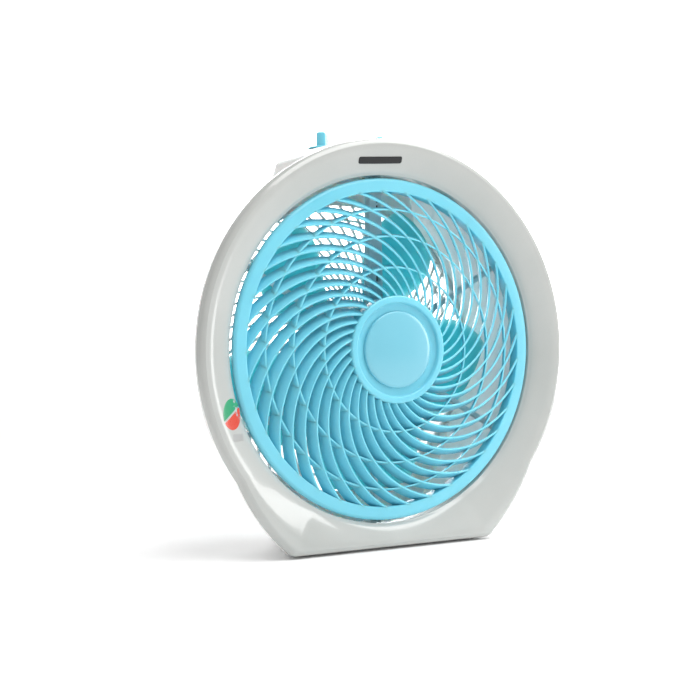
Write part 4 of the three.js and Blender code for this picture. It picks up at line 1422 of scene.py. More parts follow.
# ------------------------------------------------------------------------------ turning grille
@dataclass
class TurningGrille:
    """The light-blue front grille: rim, spiral vanes, hoops, hub and cap."""

    bench: Bench
    rim: float = 165.0
    rim_width: float = 13.0
    rim_front: float = 17.0
    hub: float = 51.7
    hub_width: float = 6.7
    hub_front: float = 1.0
    vanes: int = 37
    sweep: float = math.radians(70)
    phase: float = math.radians(4)
    vane_depth: float = 12.5
    vane_width: float = 1.9
    lean: float = math.radians(-28)
    dome: float = 15.2
    dome_power: float = 1.7
    vane_start: float = 1.3
    hoops: tuple[float, ...] = (78.4, 108.4, 134.4)
    hoop_lean: float = 2.2

    @property
    def inner(self) -> float:
        """The radius inside the rim."""
        return self.rim - self.rim_width

    def face_depth(self, radius: float) -> float:
        """How far back the vanes' front edges lie at a radius.

        Args:
            radius: the radius.

        Returns:
            The depth.
        """
        share = max((radius - self.hub) / (self.inner - self.hub), 0.0)
        return self.hub_front + self.vane_start + self.dome * share**self.dome_power

    def vane_shape(self) -> Shape:
        """All the spiral vanes.

        Returns:
            The vanes as one shape.
        """
        return spiral_bars_tree(Spiral.EVEN).run(
            BLUE,
            {
                "Count": self.vanes,
                "Phase": self.phase,
                "Inner Radius": self.hub - 1.0,
                "Outer Radius": self.inner + 1.2,
                "Sweep": self.sweep,
                "Front": self.hub_front + self.vane_start,
                "Dome": self.dome,
                "Dome Power": self.dome_power,
                "Width": self.vane_width,
                "Depth": self.vane_depth,
                "Lean": self.lean,
                "Fillet": 0.4,
                "Steps": 36,
            },
        )

    def rim_shape(self) -> Shape:
        """The broad flat rim with a rolled outer edge and a skirt round its inside.

        Returns:
            The closed shape.
        """
        f = self.rim_front
        corners = [
            (self.inner, f + 0.4, 0.5),
            (self.inner + 1.0, f, 0.8),
            (self.rim - 2.4, f, 2.0),
            (self.rim, f + 2.0, 1.6),
            (self.rim, f + 6.0, 0.4),
            (self.rim - 2.4, f + 6.0, 0.4),
            (self.rim - 2.6, f + 3.2, 0.4),
            (self.inner + 2.4, f + 3.2, 0.8),
            (self.inner + 2.0, f + 12.0, 0.4),
            (self.inner, f + 12.0, 0.4),
        ]
        return turned(rounded(corners, 5), 200)

    def hub_shape(self) -> Shape:
        """The flange, the groove inside it and the seat of the cap.

        Returns:
            The closed shape.
        """
        f = self.hub_front
        inner = self.hub - self.hub_width
        corners = [
            (inner, f + 1.0, 1.0),
            (inner + 1.0, f, 1.0),
            (self.hub - 1.2, f, 1.2),
            (self.hub, f + 1.2, 1.2),
            (self.hub, f + 13.0, 0.5),
            (self.hub - 2.4, f + 13.0, 0.5),
            (self.hub - 2.4, f + 7.0, 1.5),
            (8.0, f + 7.0, 1.0),
            (8.0, f + 18.0, 0.4),
            (3.5, f + 18.0, 0.4),
            (3.5, f + 4.2, 0.2),
            (inner - 0.2, f + 4.2, 1.6),
        ]
        return turned(rounded(corners, 5), 144)

    def hoop_shape(self, radius: float) -> Shape:
        """One thin hoop behind the vanes' front edges.

        Args:
            radius: the hoop's radius.

        Returns:
            The closed shape.
        """
        front = self.face_depth(radius) + 1.0
        skew = self.hoop_lean
        corners = [
            (radius - 0.8, front, 0.5),
            (radius + 0.8, front, 0.5),
            (radius + 0.8 + skew, front + 6.5, 0.5),
            (radius - 0.8 + skew, front + 6.5, 0.5),
        ]
        return turned(rounded(corners, 3), 160)

    def build(self) -> None:
        """Makes the grille and the domed cap in its hub."""
        shape = self.vane_shape()
        shape.add(self.rim_shape()).add(self.hub_shape())
        for radius in self.hoops:
            shape.add(self.hoop_shape(radius))
        body = "turning_grille"
        self.bench.finish("spiral_grille", shape, BLUE, body, ["swing_grille"])
        self.bench.finish("hub_cap", self.cap_shape(), BLUE_CAP, body, ["grille_cap"])

    @staticmethod
    def cap_shape() -> Shape:
        """The domed cap with a soft shoulder and a shallow step round its face.

        Returns:
            The closed shape.
        """
        dome = [(r, 0.02 + 1.8 * (r / 36.0) ** 2) for r in np.linspace(0.0, 34.0, 16)]
        edge = rounded(
            [(34.0, dome[-1][1], 0), (35.8, 2.1, 1.0), (36.6, 2.9, 0.8), (36.8, 4.8, 0)],
            5,
            closed=False,
        )
        return turned([*dome, *edge[1:], (7.0, 4.8), (7.0, 2.4), (0.0, 2.4)], 128)


# ------------------------------------------------------------------------------ support
@dataclass
class SupportSpider:
    """The grey spider behind the grille, with one wide slotted arm for the lead."""

    bench: Bench
    back: float = 53.8
    cup: float = 27.3
    cup_front: float = 33.0
    reach: float = PAD_CIRCLE
    arms: int = 6
    arm_width: float = 5.0
    arm_depth: float = 8.0
    top_width: float = 13.0
    foot_width: float = 17.4
    slots: tuple[Point2, ...] = ((66.5, 75.0), (137.8, 141.6), (144.0, 148.0))
    pad_front: float = 39.3

    def arm(self) -> Shape:
        """One narrow arm standing upright, tapered a little towards its pad.

        Returns:
            The arm with its foot.
        """
        shape = Shape()
        sections = []
        for height, width, depth in (
            (self.cup - 1.5, self.arm_width + 2.4, self.arm_depth),
            (self.cup + 5.0, self.arm_width + 0.6, self.arm_depth),
            (90.0, self.arm_width, self.arm_depth),
            (self.reach - 11.0, self.arm_width - 0.4, self.arm_depth - 0.4),
        ):
            w, d = width / 2, depth / 2
            middle = self.back - self.arm_depth / 2
            loop = rounded([(-w, -d, 1.0), (w, -d, 1.0), (w, d, 0.6), (-w, d, 0.6)], 3)
            sections.append([(x, middle + y, height) for x, y in loop])
        shape.add(lofted(sections))
        return shape.add(self.foot(self.back))

    def foot(self, back: float) -> Shape:
        """The leg and round pad at an arm's end.

        Args:
            back: the depth of the arm's rear face there.

        Returns:
            The leg and the pad.
        """
        shape = Shape()
        depth = back - self.pad_front - 0.2
        middle = self.pad_front + 0.2 + depth / 2
        shape.add(bar((self.arm_width, depth, 12.0), (0, middle, self.reach - 8.0), 0.8))
        pad = turned(
            rounded(
                [(2.2, 0, 0.2), (6.0, 0, 0.5), (6.0, 3.0, 0.7), (2.2, 3.0, 0.2)],
                3,
            ),
            40,
        )
        return shape.add(pad, Matrix.Translation((0, self.pad_front, self.reach)))

    def wide_arm(self) -> bpy.types.Mesh:
        """The wide arm: a hollow channel with slots in its front.

        Returns:
            Its mesh, in millimetres.
        """
        wall = 1.5
        front = self.back - self.arm_depth - wall
        sections = []
        for height, width in ((self.cup - 2.0, self.foot_width), (self.reach, self.top_width)):
            w = width / 2
            loop = rounded(
                [
                    (-w, front, 1.3),
                    (w, front, 1.3),
                    (w, self.back, 0.4),
                    (w - wall, self.back, 0.4),
                    (w - wall, front + wall, 0.8),
                    (-w + wall, front + wall, 0.8),
                    (-w + wall, self.back, 0.4),
                    (-w, self.back, 0.4),
                ],
                3,
            )
            sections.append([(x, depth, height) for x, depth in loop])
        mesh = lofted(sections).mesh("wide_arm")
        cutters = [
            bar((4.5, 8.0, high - low), (LEAD_OFFSET, front, (low + high) / 2), 0.3)
            for low, high in self.slots
        ]
        return self.bench.cut(mesh, cutters)

    def cup_shape(self) -> Shape:
        """The cup round the gear motor.

        Returns:
            The closed shape.
        """
        corners = [
            (25.3, self.cup_front, 0.4),
            (self.cup, self.cup_front, 0.6),
            (self.cup, self.back, 1.6),
            (0.01, self.back, 0.0),
            (0.01, self.back - 2.5, 0.0),
            (25.3, self.back - 2.5, 0.8),
        ]
        return turned(rounded(corners, 4), 96)

    def build(self) -> None:
        """Makes the spider as one piece."""
        shape = self.cup_shape()
        arm = self.arm()
        for i in range(1, self.arms):
            shape.add(arm, Matrix.Rotation(-i * TAU / self.arms, 4, "Y"))
        shape.add(Shape.of(self.wide_arm()))
        shape.add(self.foot(self.back - self.arm_depth))
        # The spider's finish carries painted light in its lightened, blue-tinted colour.
        self.bench.finish("support_spider", shape, PAINTED_LIGHT_PALE_PLASTIC, "housing", ["front_support"])


@dataclass
class GearMotor:
    """The slow gear motor that turns the grille, its shaft, its screw and its lead."""

    bench: Bench
    front: float = 31.0
    length: float = 20.0
    radius: float = 25.0

    def build(self) -> None:
        """Makes the can, the shaft, the screw and the lead."""
        back = self.front + self.length
        can = rounded(
            [
                (9.0, self.front, 0.4),
                (9.5, self.front + 0.5, 0.4),
                (self.radius, self.front + 0.5, 1.4),
                (self.radius, self.front + 8.0, 0.3),
                (self.radius - 0.5, self.front + 8.3, 0.2),
                (self.radius - 0.5, self.front + 8.9, 0.2),
                (self.radius, self.front + 9.2, 0.3),
                (self.radius, back, 1.2),
            ],
            4,
            closed=False,
        )
        shape = turned([(0, self.front), *can, (0, back)], 96)
        self.bench.finish("gear_motor_can", shape, PRESSED, "housing", ["grille_motor"])
        self.lead()
        self.bench.dress("grille_shaft", STEEL)

    def lead(self) -> None:
        """The black lead up the wide arm and back to the terminal block."""
        points = [
            (LEAD_OFFSET, 48.8, 25.8),
            (LEAD_OFFSET, 48.8, 60.0),
            (LEAD_OFFSET, 48.8, 110.0),
            (LEAD_OFFSET, 48.8, 150.0),
            (LEAD_OFFSET, 50.8, 168.0),
            (LEAD_OFFSET, 60.8, 180.0),
            (LEAD_OFFSET, 75.7, 191.2),
            (LEAD_OFFSET, 83.5, 191.2),
        ]
        path = smooth_path(points, 12)
        shape = tube(path, 1.65, 16)
        self.bench.finish("black_drive_lead", shape, BLACK_LEAD, "housing", ["drive_lead"])


# ------------------------------------------------------------------------------ impeller
@dataclass
class BladeWheel:
    """The five-blade impeller and its nut."""

    bench: Bench
    blades: int = 5
    phase: float = math.radians(68.5)
    front: float = 68.1
    hub: float = 42.0
    tip: float = 144.6
    middle: float = 85.0
    root_depth: float = 32.0
    tip_depth: float = 42.0
    camber: float = 4.0
    half_sweep: float = math.radians(27)
    skew: float = math.radians(10)
    thickness: float = 2.2
    steps: int = 26
    chord_steps: int = 18

    def blade(self) -> Shape:
        """One cambered blade with soft edges, at angle nought.

        Returns:
            The closed shape.
        """
        sections = []
        for i in range(self.steps + 1):
            share = i / self.steps
            radius = self.hub - 2.0 + (self.tip - self.hub + 2.0) * share
            depth = self.root_depth + (self.tip_depth - self.root_depth) * share
            half = self.half_sweep * (1 - 0.3 * share**6) * (0.82 + 0.18 * math.sin(share * math.pi))
            middle = -self.skew * share
            front, rear = [], []
            for j in range(self.chord_steps + 1):
                across = 2 * j / self.chord_steps - 1
                angle = middle - half * across
                bow = self.camber * (1 - across**2)
                edge = max(1 - across**8, 0.18) * (1.0 if share < 0.97 else 0.45)
                place = self.middle + depth * across / 2 - bow * 0.5
                halfway = place + self.thickness / 2
                front.append(polar(radius, angle, halfway - self.thickness / 2 * edge))
                rear.insert(0, polar(radius, angle, halfway + self.thickness / 2 * edge))
            sections.append([*front, *rear])
        return lofted(sections)

    def hub_shape(self) -> Shape:
        """The cup-shaped hub with soft edges and a ring round its face.

        Returns:
            The closed shape.
        """
        f = self.front
        corners = [
            (4.3, f, 0.3),
            (14.0, f, 0.3),
            (14.6, f + 0.5, 0.3),
            (18.0, f + 0.5, 0.3),
            (18.6, f, 0.3),
            (self.hub, f, 5.0),
            (self.hub, f + 30.0, 0.5),
            (self.hub - 3.0, f + 30.0, 0.5),
            (self.hub - 3.0, f + 3.0, 3.0),
            (4.3, f + 3.0, 0.3),
        ]
        return turned(rounded(corners, 5), 120)

    def nut_shape(self) -> Shape:
        """The round nut, fluted for the fingers.

        Returns:
            The closed shape.
        """
        back = self.front - 0.3
        start = back - 9.0
        turns = [TAU * k / 96 for k in range(96)]
        loops = []
        for radius, depth in ((6.0, 0.2), (9.0, 1.2), (10.6, 3.2), (11.0, 5.0), (11.0, 9.0)):
            flute = 0.035 if depth > 1 else 0.0
            loops.append(
                [
                    polar(radius * (1 - flute * (0.5 + 0.5 * math.cos(12 * a))), a, start + depth)
                    for a in turns
                ]
            )
        for depth in (back, start + 4.2):
            loops.append([polar(4.4, a, depth) for a in turns])
        return lofted(loops)

    def build(self) -> None:
        """Makes the impeller and its nut."""
        phase = {"Count": self.blades, "Phase": self.phase}
        # The impeller and its nut carry painted light in their brightened blue.
        shape = radial_tree().run(BLADE_BLUE_PAINTED_LIGHT, phase, self.blade())
        shape.add(self.hub_shape())
        self.bench.finish("blade_wheel", shape, BLADE_BLUE_PAINTED_LIGHT, "fan_rotor", ["impeller"])
        self.bench.finish("wheel_nut", self.nut_shape(), BLADE_BLUE_PAINTED_LIGHT, "fan_rotor", ["impeller_nut"])


@dataclass
class MainMotor:
    """The main motor: pressed covers round a laminated stack, and what is inside."""

    bench: Bench
    front: float = 74.1
    back: float = 124.1
    stack: float = 16.0
    radius: float = 37.0

    def cover(self, closed: float, opened: float) -> Shape:
        """One pressed cover with a stepped shoulder.

        Args:
            closed: the depth of its closed end.
            opened: the depth of its open end.

        Returns:
            The closed shape.
        """
        side = 1 if opened > closed else -1
        corners = [
            (7.4, 0.1, 0.3),
            (12.0, 0.1, 0.6),
            (13.5, 1.4, 0.8),
            (self.radius - 9.0, 1.4, 1.0),
            (self.radius - 7.5, 0.1, 0.8),
            (self.radius, 0.1, 4.0),
            (self.radius, abs(opened - closed), 0.3),
            (self.radius - 2.0, abs(opened - closed), 0.3),
            (self.radius - 2.0, 2.4, 3.0),
            (9.4, 3.4, 0.5),
            (9.4, 9.0, 0.3),
            (7.4, 9.0, 0.3),
        ]
        return turned([(r, closed + side * d) for r, d in rounded(corners, 5)], 96)

    def build(self) -> None:
        """Makes the covers and the stack, and dresses what they hold."""
        middle = (self.front + self.back) / 2
        start, end = middle - self.stack / 2, middle + self.stack / 2
        for name, closed, opened in (
            ("front", self.front, start),
            ("rear", self.back, end),
        ):
            shape = self.cover(closed, opened)
            node = f"motor_{name}_cover"
            self.bench.finish(f"{name}_motor_can", shape, PRESSED, "housing", [node])
        stack = turned(
            rounded(
                [
                    (20.0, start + 0.3, 0.3),
                    (36.7, start + 0.3, 0.3),
                    (36.7, end - 0.3, 0.3),
                    (20.0, end - 0.3, 0.3),
                ],
                2,
            ),
            96,
        )
        self.bench.finish("lamination_stack", stack, LAMINATION, "housing", ["stator_core"])
        for node, finish in (
            ("winding_front", COPPER),
            ("winding_rear", COPPER),
            ("rotor_core", LAMINATION),
            ("fan_shaft", STEEL),
            ("front_bush", BRONZE),
            ("rear_bush", BRONZE),
        ):
            self.bench.dress(node, finish)


# ------------------------------------------------------------------------------ controls
@dataclass
class Knob:
    """One bar knob on a thin skirt."""

    name: str
    x: float
    turn: float
    skirt: float = 15.0
    skirt_height: float = 2.4
    height: float = 16.4
    grip: float = 10.4
    width: float = 9.4

    def grip_shape(self) -> Shape:
        """The bar, rounded at its ends, with soft top edges.

        Returns:
            The closed shape.
        """
        levels = [(1.0, 0.0), (self.height - 2.2, 0.25), (self.height - 1.2, 0.45)]
        for i in range(1, 6):
            turn = i / 5 * math.pi / 2
            levels.append((self.height - 1.6 + 1.6 * math.sin(turn), 0.5 + 1.6 * (1 - math.cos(turn))))
        sections = []
        for level, inset in levels:
            half = self.width / 2 - inset
            radius = self.grip - inset
            loop = []
            limit = math.asin(min(half / radius, 1.0))
            for middle in (0.0, math.pi):
                for k in range(13):
                    angle = middle + (-limit + 2 * limit * k / 12)
                    loop.append((-radius * math.sin(angle), radius * math.cos(angle), level))
            sections.append(loop)
        return lofted(sections)

    def skirt_shape(self) -> Shape:
        """The skirt, turned about its own upright axis.

        Returns:
            The closed shape.
        """
        rows = [(0, 0)]
        rows += rounded(
            [
                (self.skirt, 0, 0.3),
                (self.skirt, 1.0, 0.6),
                (self.skirt - 2.0, self.skirt_height, 1.2),
                (self.skirt - 6.0, self.skirt_height, 0),
            ],
            4,
            closed=False,
        )
        rows.append((0, self.skirt_height))
        made = turned([(r, -h) for r, h in rows], 72)
        return Shape().add(made, Matrix.Rotation(-math.pi / 2, 4, "X"))

    def shape(self, base: float, depth: float) -> Shape:
        """The knob in its place on the deck.

        Args:
            base: the height of its underside above the axis.
            depth: how far back it stands.

        Returns:
            The closed shape.
        """
        own = Shape().add(self.skirt_shape()).add(self.grip_shape())
        place = Matrix.Translation((self.x, depth, base)) @ Matrix.Rotation(self.turn, 4, "Z")
        return Shape().add(own, place)


@dataclass
class Controls:
    """The two knobs on the deck, the marks round them and what hangs under it."""

    bench: Bench
    deck: float = 199.0
    depth: float = 90.0
    lift: float = 0.8
    spacing: float = 69.0
    mark_circle: float = 18.5

    def build(self) -> None:
        """Makes the knobs and dresses the switch gear."""
        half = self.spacing / 2
        for name, x, turn in (
            ("speed", -half, math.radians(-38)),
            ("timer", half, math.radians(-50)),
        ):
            knob = Knob(name, x, turn)
            shape = knob.shape(self.deck + self.lift + 0.02, self.depth)
            body = name + "_control"
            self.bench.finish(f"{name}_bar_knob", shape, BLUE, body, [name + "_knob"])
            self.bench.dress(name + "_shaft", ZINC)
        for node in ("speed_switch", "timer_body", "terminal_block"):
            self.bench.dress(node, CREAM)
        self.bench.dress("capacitor", BLACK_PLASTIC)
        self.marks()

    def marks(self) -> None:
        """Small raised dots round each knob, longer ones at the ends of its travel."""
        shape = Shape()
        half = self.spacing / 2
        for x, first, last, count in ((-half, 52, 172, 4), (half, 22, 322, 7)):
            for i in range(count):
                angle = math.radians(first + (last - first) * i / (count - 1))
                size = 1.3 if i in (0, count - 1) else 0.9
                dot = turned([(0, 0.3), (size, 0.3), (size * 0.8, -0.35), (0, -0.45)], 20)
                upright = Shape().add(dot, Matrix.Rotation(-math.pi / 2, 4, "X"))
                across, _, back = polar(self.mark_circle, angle, 0.0)
                shape.add(upright, Matrix.Translation((x + across, self.depth + back, self.deck)))
        # The marks share the spider's finish with its painted light.
        self.bench.finish("dial_marks", shape, PAINTED_LIGHT_PALE_PLASTIC, "housing")


# ------------------------------------------------------------------------------ small parts
@dataclass
class Base:
    """The four rubber feet and the bushing of the cord's inlet."""

    bench: Bench
    drop: float = 190.0
    foot: float = 8.0
    foot_height: float = 2.0
    feet: int = 4
    inlet: Point2 = (-60.0, -165.0)

    def foot_shape(self) -> Shape:
        """A rubber foot on its own axis, its sole at nought.

        Returns:
            The closed shape.
        """
        top = self.foot_height + 1.1
        rows = rounded(
            [
                (self.foot - 1.2, 0, 0.6),
                (self.foot - 0.1, self.foot_height - 0.2, 0.4),
                (self.foot - 0.1, top, 0),
            ],
            4,
            closed=False,
        )
        rows = [(0, 0.35), (self.foot - 3.4, 0.35), (self.foot - 2.8, 0.0), *rows, (0, top)]
        made = turned([(r, -h) for r, h in rows], 48)
        return Shape().add(made, Matrix.Rotation(-math.pi / 2, 4, "X"))

    def build(self) -> None:
        """Makes the feet and the bushing."""
        foot = self.foot_shape()
        for i in range(1, self.feet + 1):
            low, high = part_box(f"foot_{i}")
            x = (low.x + high.x) / 2 / MM
            depth = (low.y + high.y) / 2 / MM - self.bench.datum.front
            place = Matrix.Translation((x, depth, -self.drop - self.foot_height))
            piece = Shape().add(foot, place)
            self.bench.finish(f"rubber_foot_{i}", piece, RUBBER, "housing", [f"foot_{i}"])
        self.bushing()

    def bushing(self) -> None:
        """Makes the flanged bushing that a cord would leave through."""
        made = turned(
            rounded(
                [
                    (3.7, 108.8, 0.4),
                    (5.9, 108.8, 0.4),
                    (5.9, 117.8, 0.2),
                    (7.9, 117.8, 0.4),
                    (7.9, 119.0, 0.8),
                    (6.9, 119.6, 0.6),
                    (3.7, 119.6, 0.6),
                ],
                4,
            ),
            48,
        )
        x, height = self.inlet
        piece = Shape().add(made, Matrix.Translation((x, 0, height)))
        self.bench.finish("inlet_bushing", piece, BLACK_PLASTIC, "housing", ["cord_inlet"])


class Head(Enum):
    """Which way a screw's head faces."""

    BACK = 1
    FRONT = -1


@dataclass
class Screw:
    """One pan-head screw with a cross recess."""

    bench: Bench
    length: float
    head: Head = Head.BACK
    head_radius: float = 4.0
    head_height: float = 2.4
    shank: float = 1.8

    def unit(self) -> bpy.types.Mesh:
        """The screw about the axis, its head's seat at nought.

        Returns:
            Its mesh, in millimetres.
        """
        side = self.head.value
        rows = [(0.0, self.head_height)]
        for i in range(1, 8):
            turn = i / 7 * math.pi / 2
            rows.append(
                (self.head_radius * math.sin(turn), 0.9 + (self.head_height - 0.9) * math.cos(turn))
            )
        rows += [(self.head_radius, 0.0), (self.shank, 0.0)]
        rows += [(self.shank, -self.length + 1.5), (self.shank - 1.0, -self.length + 0.2)]
        rows.append((0.0, -self.length + 0.2))
        mesh = turned([(r, h * side) for r, h in rows], 36).mesh("screw")
        for size in ((3.8, 2.6, 0.9), (0.9, 2.6, 3.8)):
            slot = bar(size, (0, (self.head_height + 0.1) * side, 0), 0.1)
            mesh = self.bench.cut(mesh, [slot])
        return mesh


def fastener_tree() -> NodeTree:
    """A tree that puts one screw on every point of the mesh it is given.

    Returns:
        The tree.
    """
    tree = NodeTree("screws_on_points", {"Screw": ("Object", None)})
    take = tree.inputs
    info = tree.node("ObjectInfo", {"Object": take["Screw"]})
    points = tree.node("MeshToPoints", {"Mesh": take["Geometry"]})
    copies = tree.node(
        "InstanceOnPoints",
        {"Points": points.outputs[0], "Instance": info.outputs["Geometry"]},
    )
    tree.close(copies.outputs[0])
    return tree


@dataclass
class Fasteners:
    """Every set of screws, one piece a set."""

    bench: Bench

    def place_set(
        self, tree: NodeTree, name: str, length: float, seat: float, places: Sequence[Point2]
    ) -> None:
        """Makes one set of screws.

        Args:
            tree: the tree that puts a screw on every point.
            name: the name that the set's CAD nodes start with.
            length: the length of a screw's shank.
            seat: the depth of its head's seat.
            places: where they go, as (x, height).
        """
        unit = self.bench.link("screw_unit", Screw(self.bench, length).unit())
        unit.data.transform(Matrix.Rotation(-math.pi / 2, 4, "X"))
        spots = Shape([(x, seat, height) for x, height in places], [])
        shape = tree.run(ZINC, {"Screw": unit}, spots)
        bpy.data.objects.remove(unit)
        nodes = [f"{name}_{i + 1}" for i in range(len(places))]
        self.bench.finish(name + "s", shape, ZINC, "housing", nodes)

    def build(self) -> None:
        """Makes the shell, support, motor and grille screws."""
        tree = fastener_tree()
        for name, length, seat, circle, angles in (
            ("shell_screw", 12.0, 34.6, SHELL_SCREW_CIRCLE, SHELL_SCREW_ANGLES),
            ("support_screw", 11.0, 42.6, PAD_CIRCLE, PAD_ANGLES),
            ("motor_screw", 7.0, 127.4, MOTOR_SCREW_CIRCLE, MOTOR_SCREW_ANGLES),
        ):
            self.place_set(tree, name, length, seat, on_circle(circle, angles))
        screw = Screw(self.bench, 12.0, Head.FRONT).unit()
        screw.transform(Matrix.Translation((0, 4.7, 0)))
        self.bench.finish("hub_screw", screw, ZINC, "turning_grille", ["grille_screw"])


@dataclass
class Markings:
    """The plain badge, the plain label and the plain two-tone sticker on the front shell."""

    bench: Bench
    shell: FrontShell

    def face_depth(self, x: float, height: float) -> float:
        """The depth of the front shell's face at a place.

        Args:
            x: the place's x.
            height: its height above the axis.

        Returns:
            The depth.
        """
        angle = math.atan2(height, x)
        reach = float(self.shell.outline.radii(np.array([angle]))[0])
        duct = self.shell.duct
        rows = [(duct + (reach - duct) * blend + offset, d) for blend, offset, d in self.shell.face_rows()]
        rows.sort()
        own = math.hypot(x, height)
        return float(np.interp(own, [row[0] for row in rows], [row[1] for row in rows]))

    def plaque(self, outline: Sequence[Point2], rise: float) -> Shape:
        """A thin plate that lies on the shell's face.

        Args:
            outline: its outline, as (x, height).
            rise: how far it stands proud.

        Returns:
            The closed shape.
        """
        middle = Vector((sum(p[0] for p in outline), sum(p[1] for p in outline))) / len(outline)
        rings = []
        for grow, lift in ((1.0, -0.25), (1.0, rise * 0.6), (0.97, rise), (0.66, rise), (0.33, rise)):
            ring = []
            for point in outline:
                x, height = middle + (Vector(point) - middle) * grow
                ring.append((x, self.face_depth(x, height) - lift, height))
            rings.append(ring)
        shape = Shape()
        sides = len(outline)
        for ring in rings:
            shape.points.extend(ring)
        for row in range(len(rings) - 1):
            for k in range(sides):
                j = (k + 1) % sides
                a, b = row * sides, (row + 1) * sides
                shape.faces.append((a + k, a + j, b + j, b + k))
        shape.faces.append(tuple(range(sides)))
        top = len(shape.points)
        shape.points.append((middle.x, self.face_depth(*middle) - rise, middle.y))
        last = (len(rings) - 1) * sides
        for k in range(sides):
            shape.faces.append((last + k, last + (k + 1) % sides, top))
        return shape

    def build(self) -> None:
        """Makes the badge, the label and the two halves of the sticker."""
        badge = self.plaque(self.plate_line((-14.5, 180.6), (48.0, 6.4), 2.2, 4.0), 0.35)
        self.bench.finish("plain_badge", badge, BADGE, "housing")
        label = self.plaque(self.plate_line((-163.5, -77.0), (12.0, 6.5), 0.8, 0.0), 0.12)
        self.bench.finish("plain_label", label, LABEL, "housing")
        for name, finish, turn in (("green", STICKER_GREEN, 90.0), ("red", STICKER_RED, 270.0)):
            half = self.plaque(self.half_disc((-169.0, -56.0), 14.0, 10.5, turn), 0.12)
            self.bench.finish(f"sticker_{name}_half", half, finish, "housing")

    @staticmethod
    def plate_line(middle: Point2, size: Point2, corner: float, tilt: float) -> list[Point2]:
        """The outline of a small plate, in short steps.

        Args:
            middle: its middle, as (x, height).
            size: its width and height.
            corner: the radius of its corners.
            tilt: its turn in degrees.

        Returns:
            The outline.
        """
        w, h = size[0] / 2, size[1] / 2
        corners = [(-w, -h, corner), (w, -h, corner), (w, h, corner), (-w, h, corner)]
        outline = rounded(corners, 6)
        turn = math.radians(tilt)
        made = []
        for i, here in enumerate(outline):
            after = outline[(i + 1) % len(outline)]
            count = max(1, int(math.dist(here, after) / 2.0))
            for k in range(count):
                x = here[0] + (after[0] - here[0]) * k / count
                y = here[1] + (after[1] - here[1]) * k / count
                made.append(
                    (
                        middle[0] + x * math.cos(turn) - y * math.sin(turn),
                        middle[1] + x * math.sin(turn) + y * math.cos(turn),
                    )
                )
        return made

    @staticmethod
    def half_disc(middle: Point2, height: float, width: float, start: float) -> list[Point2]:
        """The outline of one half of an oval sticker.

        Args:
            middle: the sticker's middle, as (x, height).
            height: half the oval's height.
            width: half its width.
            start: the angle in degrees at which the half begins.

        Returns:
            The outline.
        """
        gap, lean = 4.0, 62.0
        made = []
        for k in range(25):
            angle = math.radians(start - lean + gap + (180 - 2 * gap) * k / 24)
            made.append((middle[0] + width * math.cos(angle), middle[1] + height * math.sin(angle)))
        first, last = made[0], made[-1]
        for k in range(1, 8):
            t = k / 8
            made.append((last[0] + (first[0] - last[0]) * t, last[1] + (first[1] - last[1]) * t))
        return made


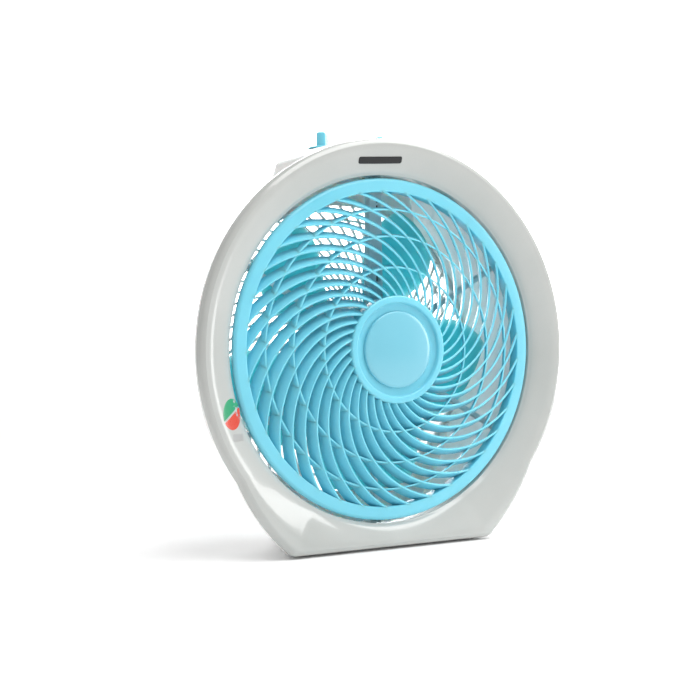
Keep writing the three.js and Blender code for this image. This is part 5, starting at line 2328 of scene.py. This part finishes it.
# ------------------------------------------------------------------------------ studio
@dataclass
class Studio:
    """The pale floor, the soft lights and the camera."""

    eye: Point3 = (-0.6112, -1.0573, 0.2116)
    aim: Point3 = (-0.045, -0.0482, 0.192)
    roll: float = math.radians(-0.3)
    lens: float = 62.8

    def floor(self) -> None:
        """A plain pale floor that runs up into a backdrop."""
        near, far, sweep, top, half = -6.0, 3.0, 1.5, 7.0, 9.0
        rows = [(near, 0.0), (far, 0.0)]
        for i in range(1, 13):
            turn = i / 12 * math.pi / 2
            rows.append((far + sweep * math.sin(turn), sweep * (1 - math.cos(turn))))
        rows.append((far + sweep, top))
        mesh = bpy.data.meshes.new("studio_floor")
        points = [(x, y, z) for y, z in rows for x in (-half, half)]
        faces = [(2 * i, 2 * i + 1, 2 * i + 3, 2 * i + 2) for i in range(len(rows) - 1)]
        mesh.from_pydata(points, [], faces)
        mesh.polygons.foreach_set("use_smooth", [True] * len(mesh.polygons))
        floor = bpy.data.objects.new("studio_floor", mesh)
        bpy.context.scene.collection.objects.link(floor)
        made = bpy.data.materials.new("studio_paper")
        made.use_nodes = True
        tree = made.node_tree
        shader = tree.nodes["Principled BSDF"]
        place = tree.nodes.new("ShaderNodeTexCoord").outputs["Object"]
        fibre = tree.nodes.new("ShaderNodeTexNoise")
        fibre.inputs["Scale"].default_value = 60.0
        tree.links.new(place, fibre.inputs["Vector"])
        ramp = tree.nodes.new("ShaderNodeValToRGB")
        ramp.color_ramp.elements[0].color = (0.93, 0.93, 0.93, 1)
        ramp.color_ramp.elements[1].color = (0.96, 0.96, 0.96, 1)
        tree.links.new(fibre.outputs["Fac"], ramp.inputs["Fac"])
        tree.links.new(ramp.outputs["Color"], shader.inputs["Base Color"])
        shader.inputs["Roughness"].default_value = 0.9
        shader.inputs["Specular IOR Level"].default_value = 0.1
        mesh.materials.append(made)

    @staticmethod
    def softbox(
        name: str, at: Point3, aim: Point3, size: Point2, power: float, spread: float = 180.0
    ) -> None:
        """One rectangular soft light.

        Args:
            name: its name.
            at: where it stands.
            aim: what it faces.
            size: its width and height.
            power: its watts.
            spread: how wide it shines, in degrees.
        """
        data = bpy.data.lights.new(name, "AREA")
        data.spread = math.radians(spread)
        data.shape = "RECTANGLE"
        data.size, data.size_y = size
        data.energy = power
        lamp = bpy.data.objects.new(name, data)
        lamp.location = at
        lamp.rotation_euler = (Vector(aim) - Vector(at)).to_track_quat("-Z", "Y").to_euler()
        bpy.context.scene.collection.objects.link(lamp)

    def lights(self) -> None:
        """The sky of the studio and its soft lights."""
        world = bpy.data.worlds.new("studio_sky")
        bpy.context.scene.world = world
        world.use_nodes = True
        sky = world.node_tree.nodes["Background"]
        sky.inputs["Color"].default_value = (1.0, 1.0, 1.0, 1)
        sky.inputs["Strength"].default_value = 0.5
        self.softbox("top_light", (0.5, -0.7, 2.1), (0, 0, 0.2), (2.4, 1.4), 44.0)
        self.softbox("right_light", (1.9, -1.5, 0.7), (0, 0, 0.2), (0.6, 1.4), 14.0)
        self.softbox("back_light", (2.0, 1.8, 2.6), (2.4, 4.3, 0.8), (2.4, 0.8), 230.0, 110.0)
        self.softbox("glow_light", (0.25, 1.0, 0.5), (0, 0, 0.2), (0.9, 0.7), 4.5)

    def camera(self) -> None:
        """The camera, level with the fan and a little to its left."""
        data = bpy.data.cameras.new("camera")
        data.lens = self.lens
        data.sensor_width = 36.0
        data.clip_start, data.clip_end = 0.01, 100.0
        camera = bpy.data.objects.new("camera", data)
        camera.location = self.eye
        look = (Vector(self.aim) - Vector(self.eye)).to_track_quat("-Z", "Y")
        camera.rotation_euler = (look.to_matrix() @ Matrix.Rotation(self.roll, 3, "Z")).to_euler()
        bpy.context.scene.collection.objects.link(camera)
        bpy.context.scene.camera = camera

    def build(self) -> None:
        """Makes the studio."""
        bpy.context.scene.view_settings.view_transform = "Standard"
        self.floor()
        self.lights()
        self.camera()


def main() -> None:
    """Builds the studio and every sub-assembly."""
    logging.basicConfig(level=logging.INFO, format="%(name)s: %(message)s")
    Studio().build()
    bench = Bench(Datum.read())
    shell = FrontShell(bench)
    assemblies = (
        shell,
        RearShell(bench),
        RearGuard(bench),
        TurningGrille(bench),
        SupportSpider(bench),
        GearMotor(bench),
        BladeWheel(bench),
        MainMotor(bench),
        Controls(bench),
        Base(bench),
        Fasteners(bench),
        Markings(bench, shell),
    )
    for assembly in assemblies:
        assembly.build()
        LOG.info("%s built", type(assembly).__name__)


if __name__ == "__main__":
    main()
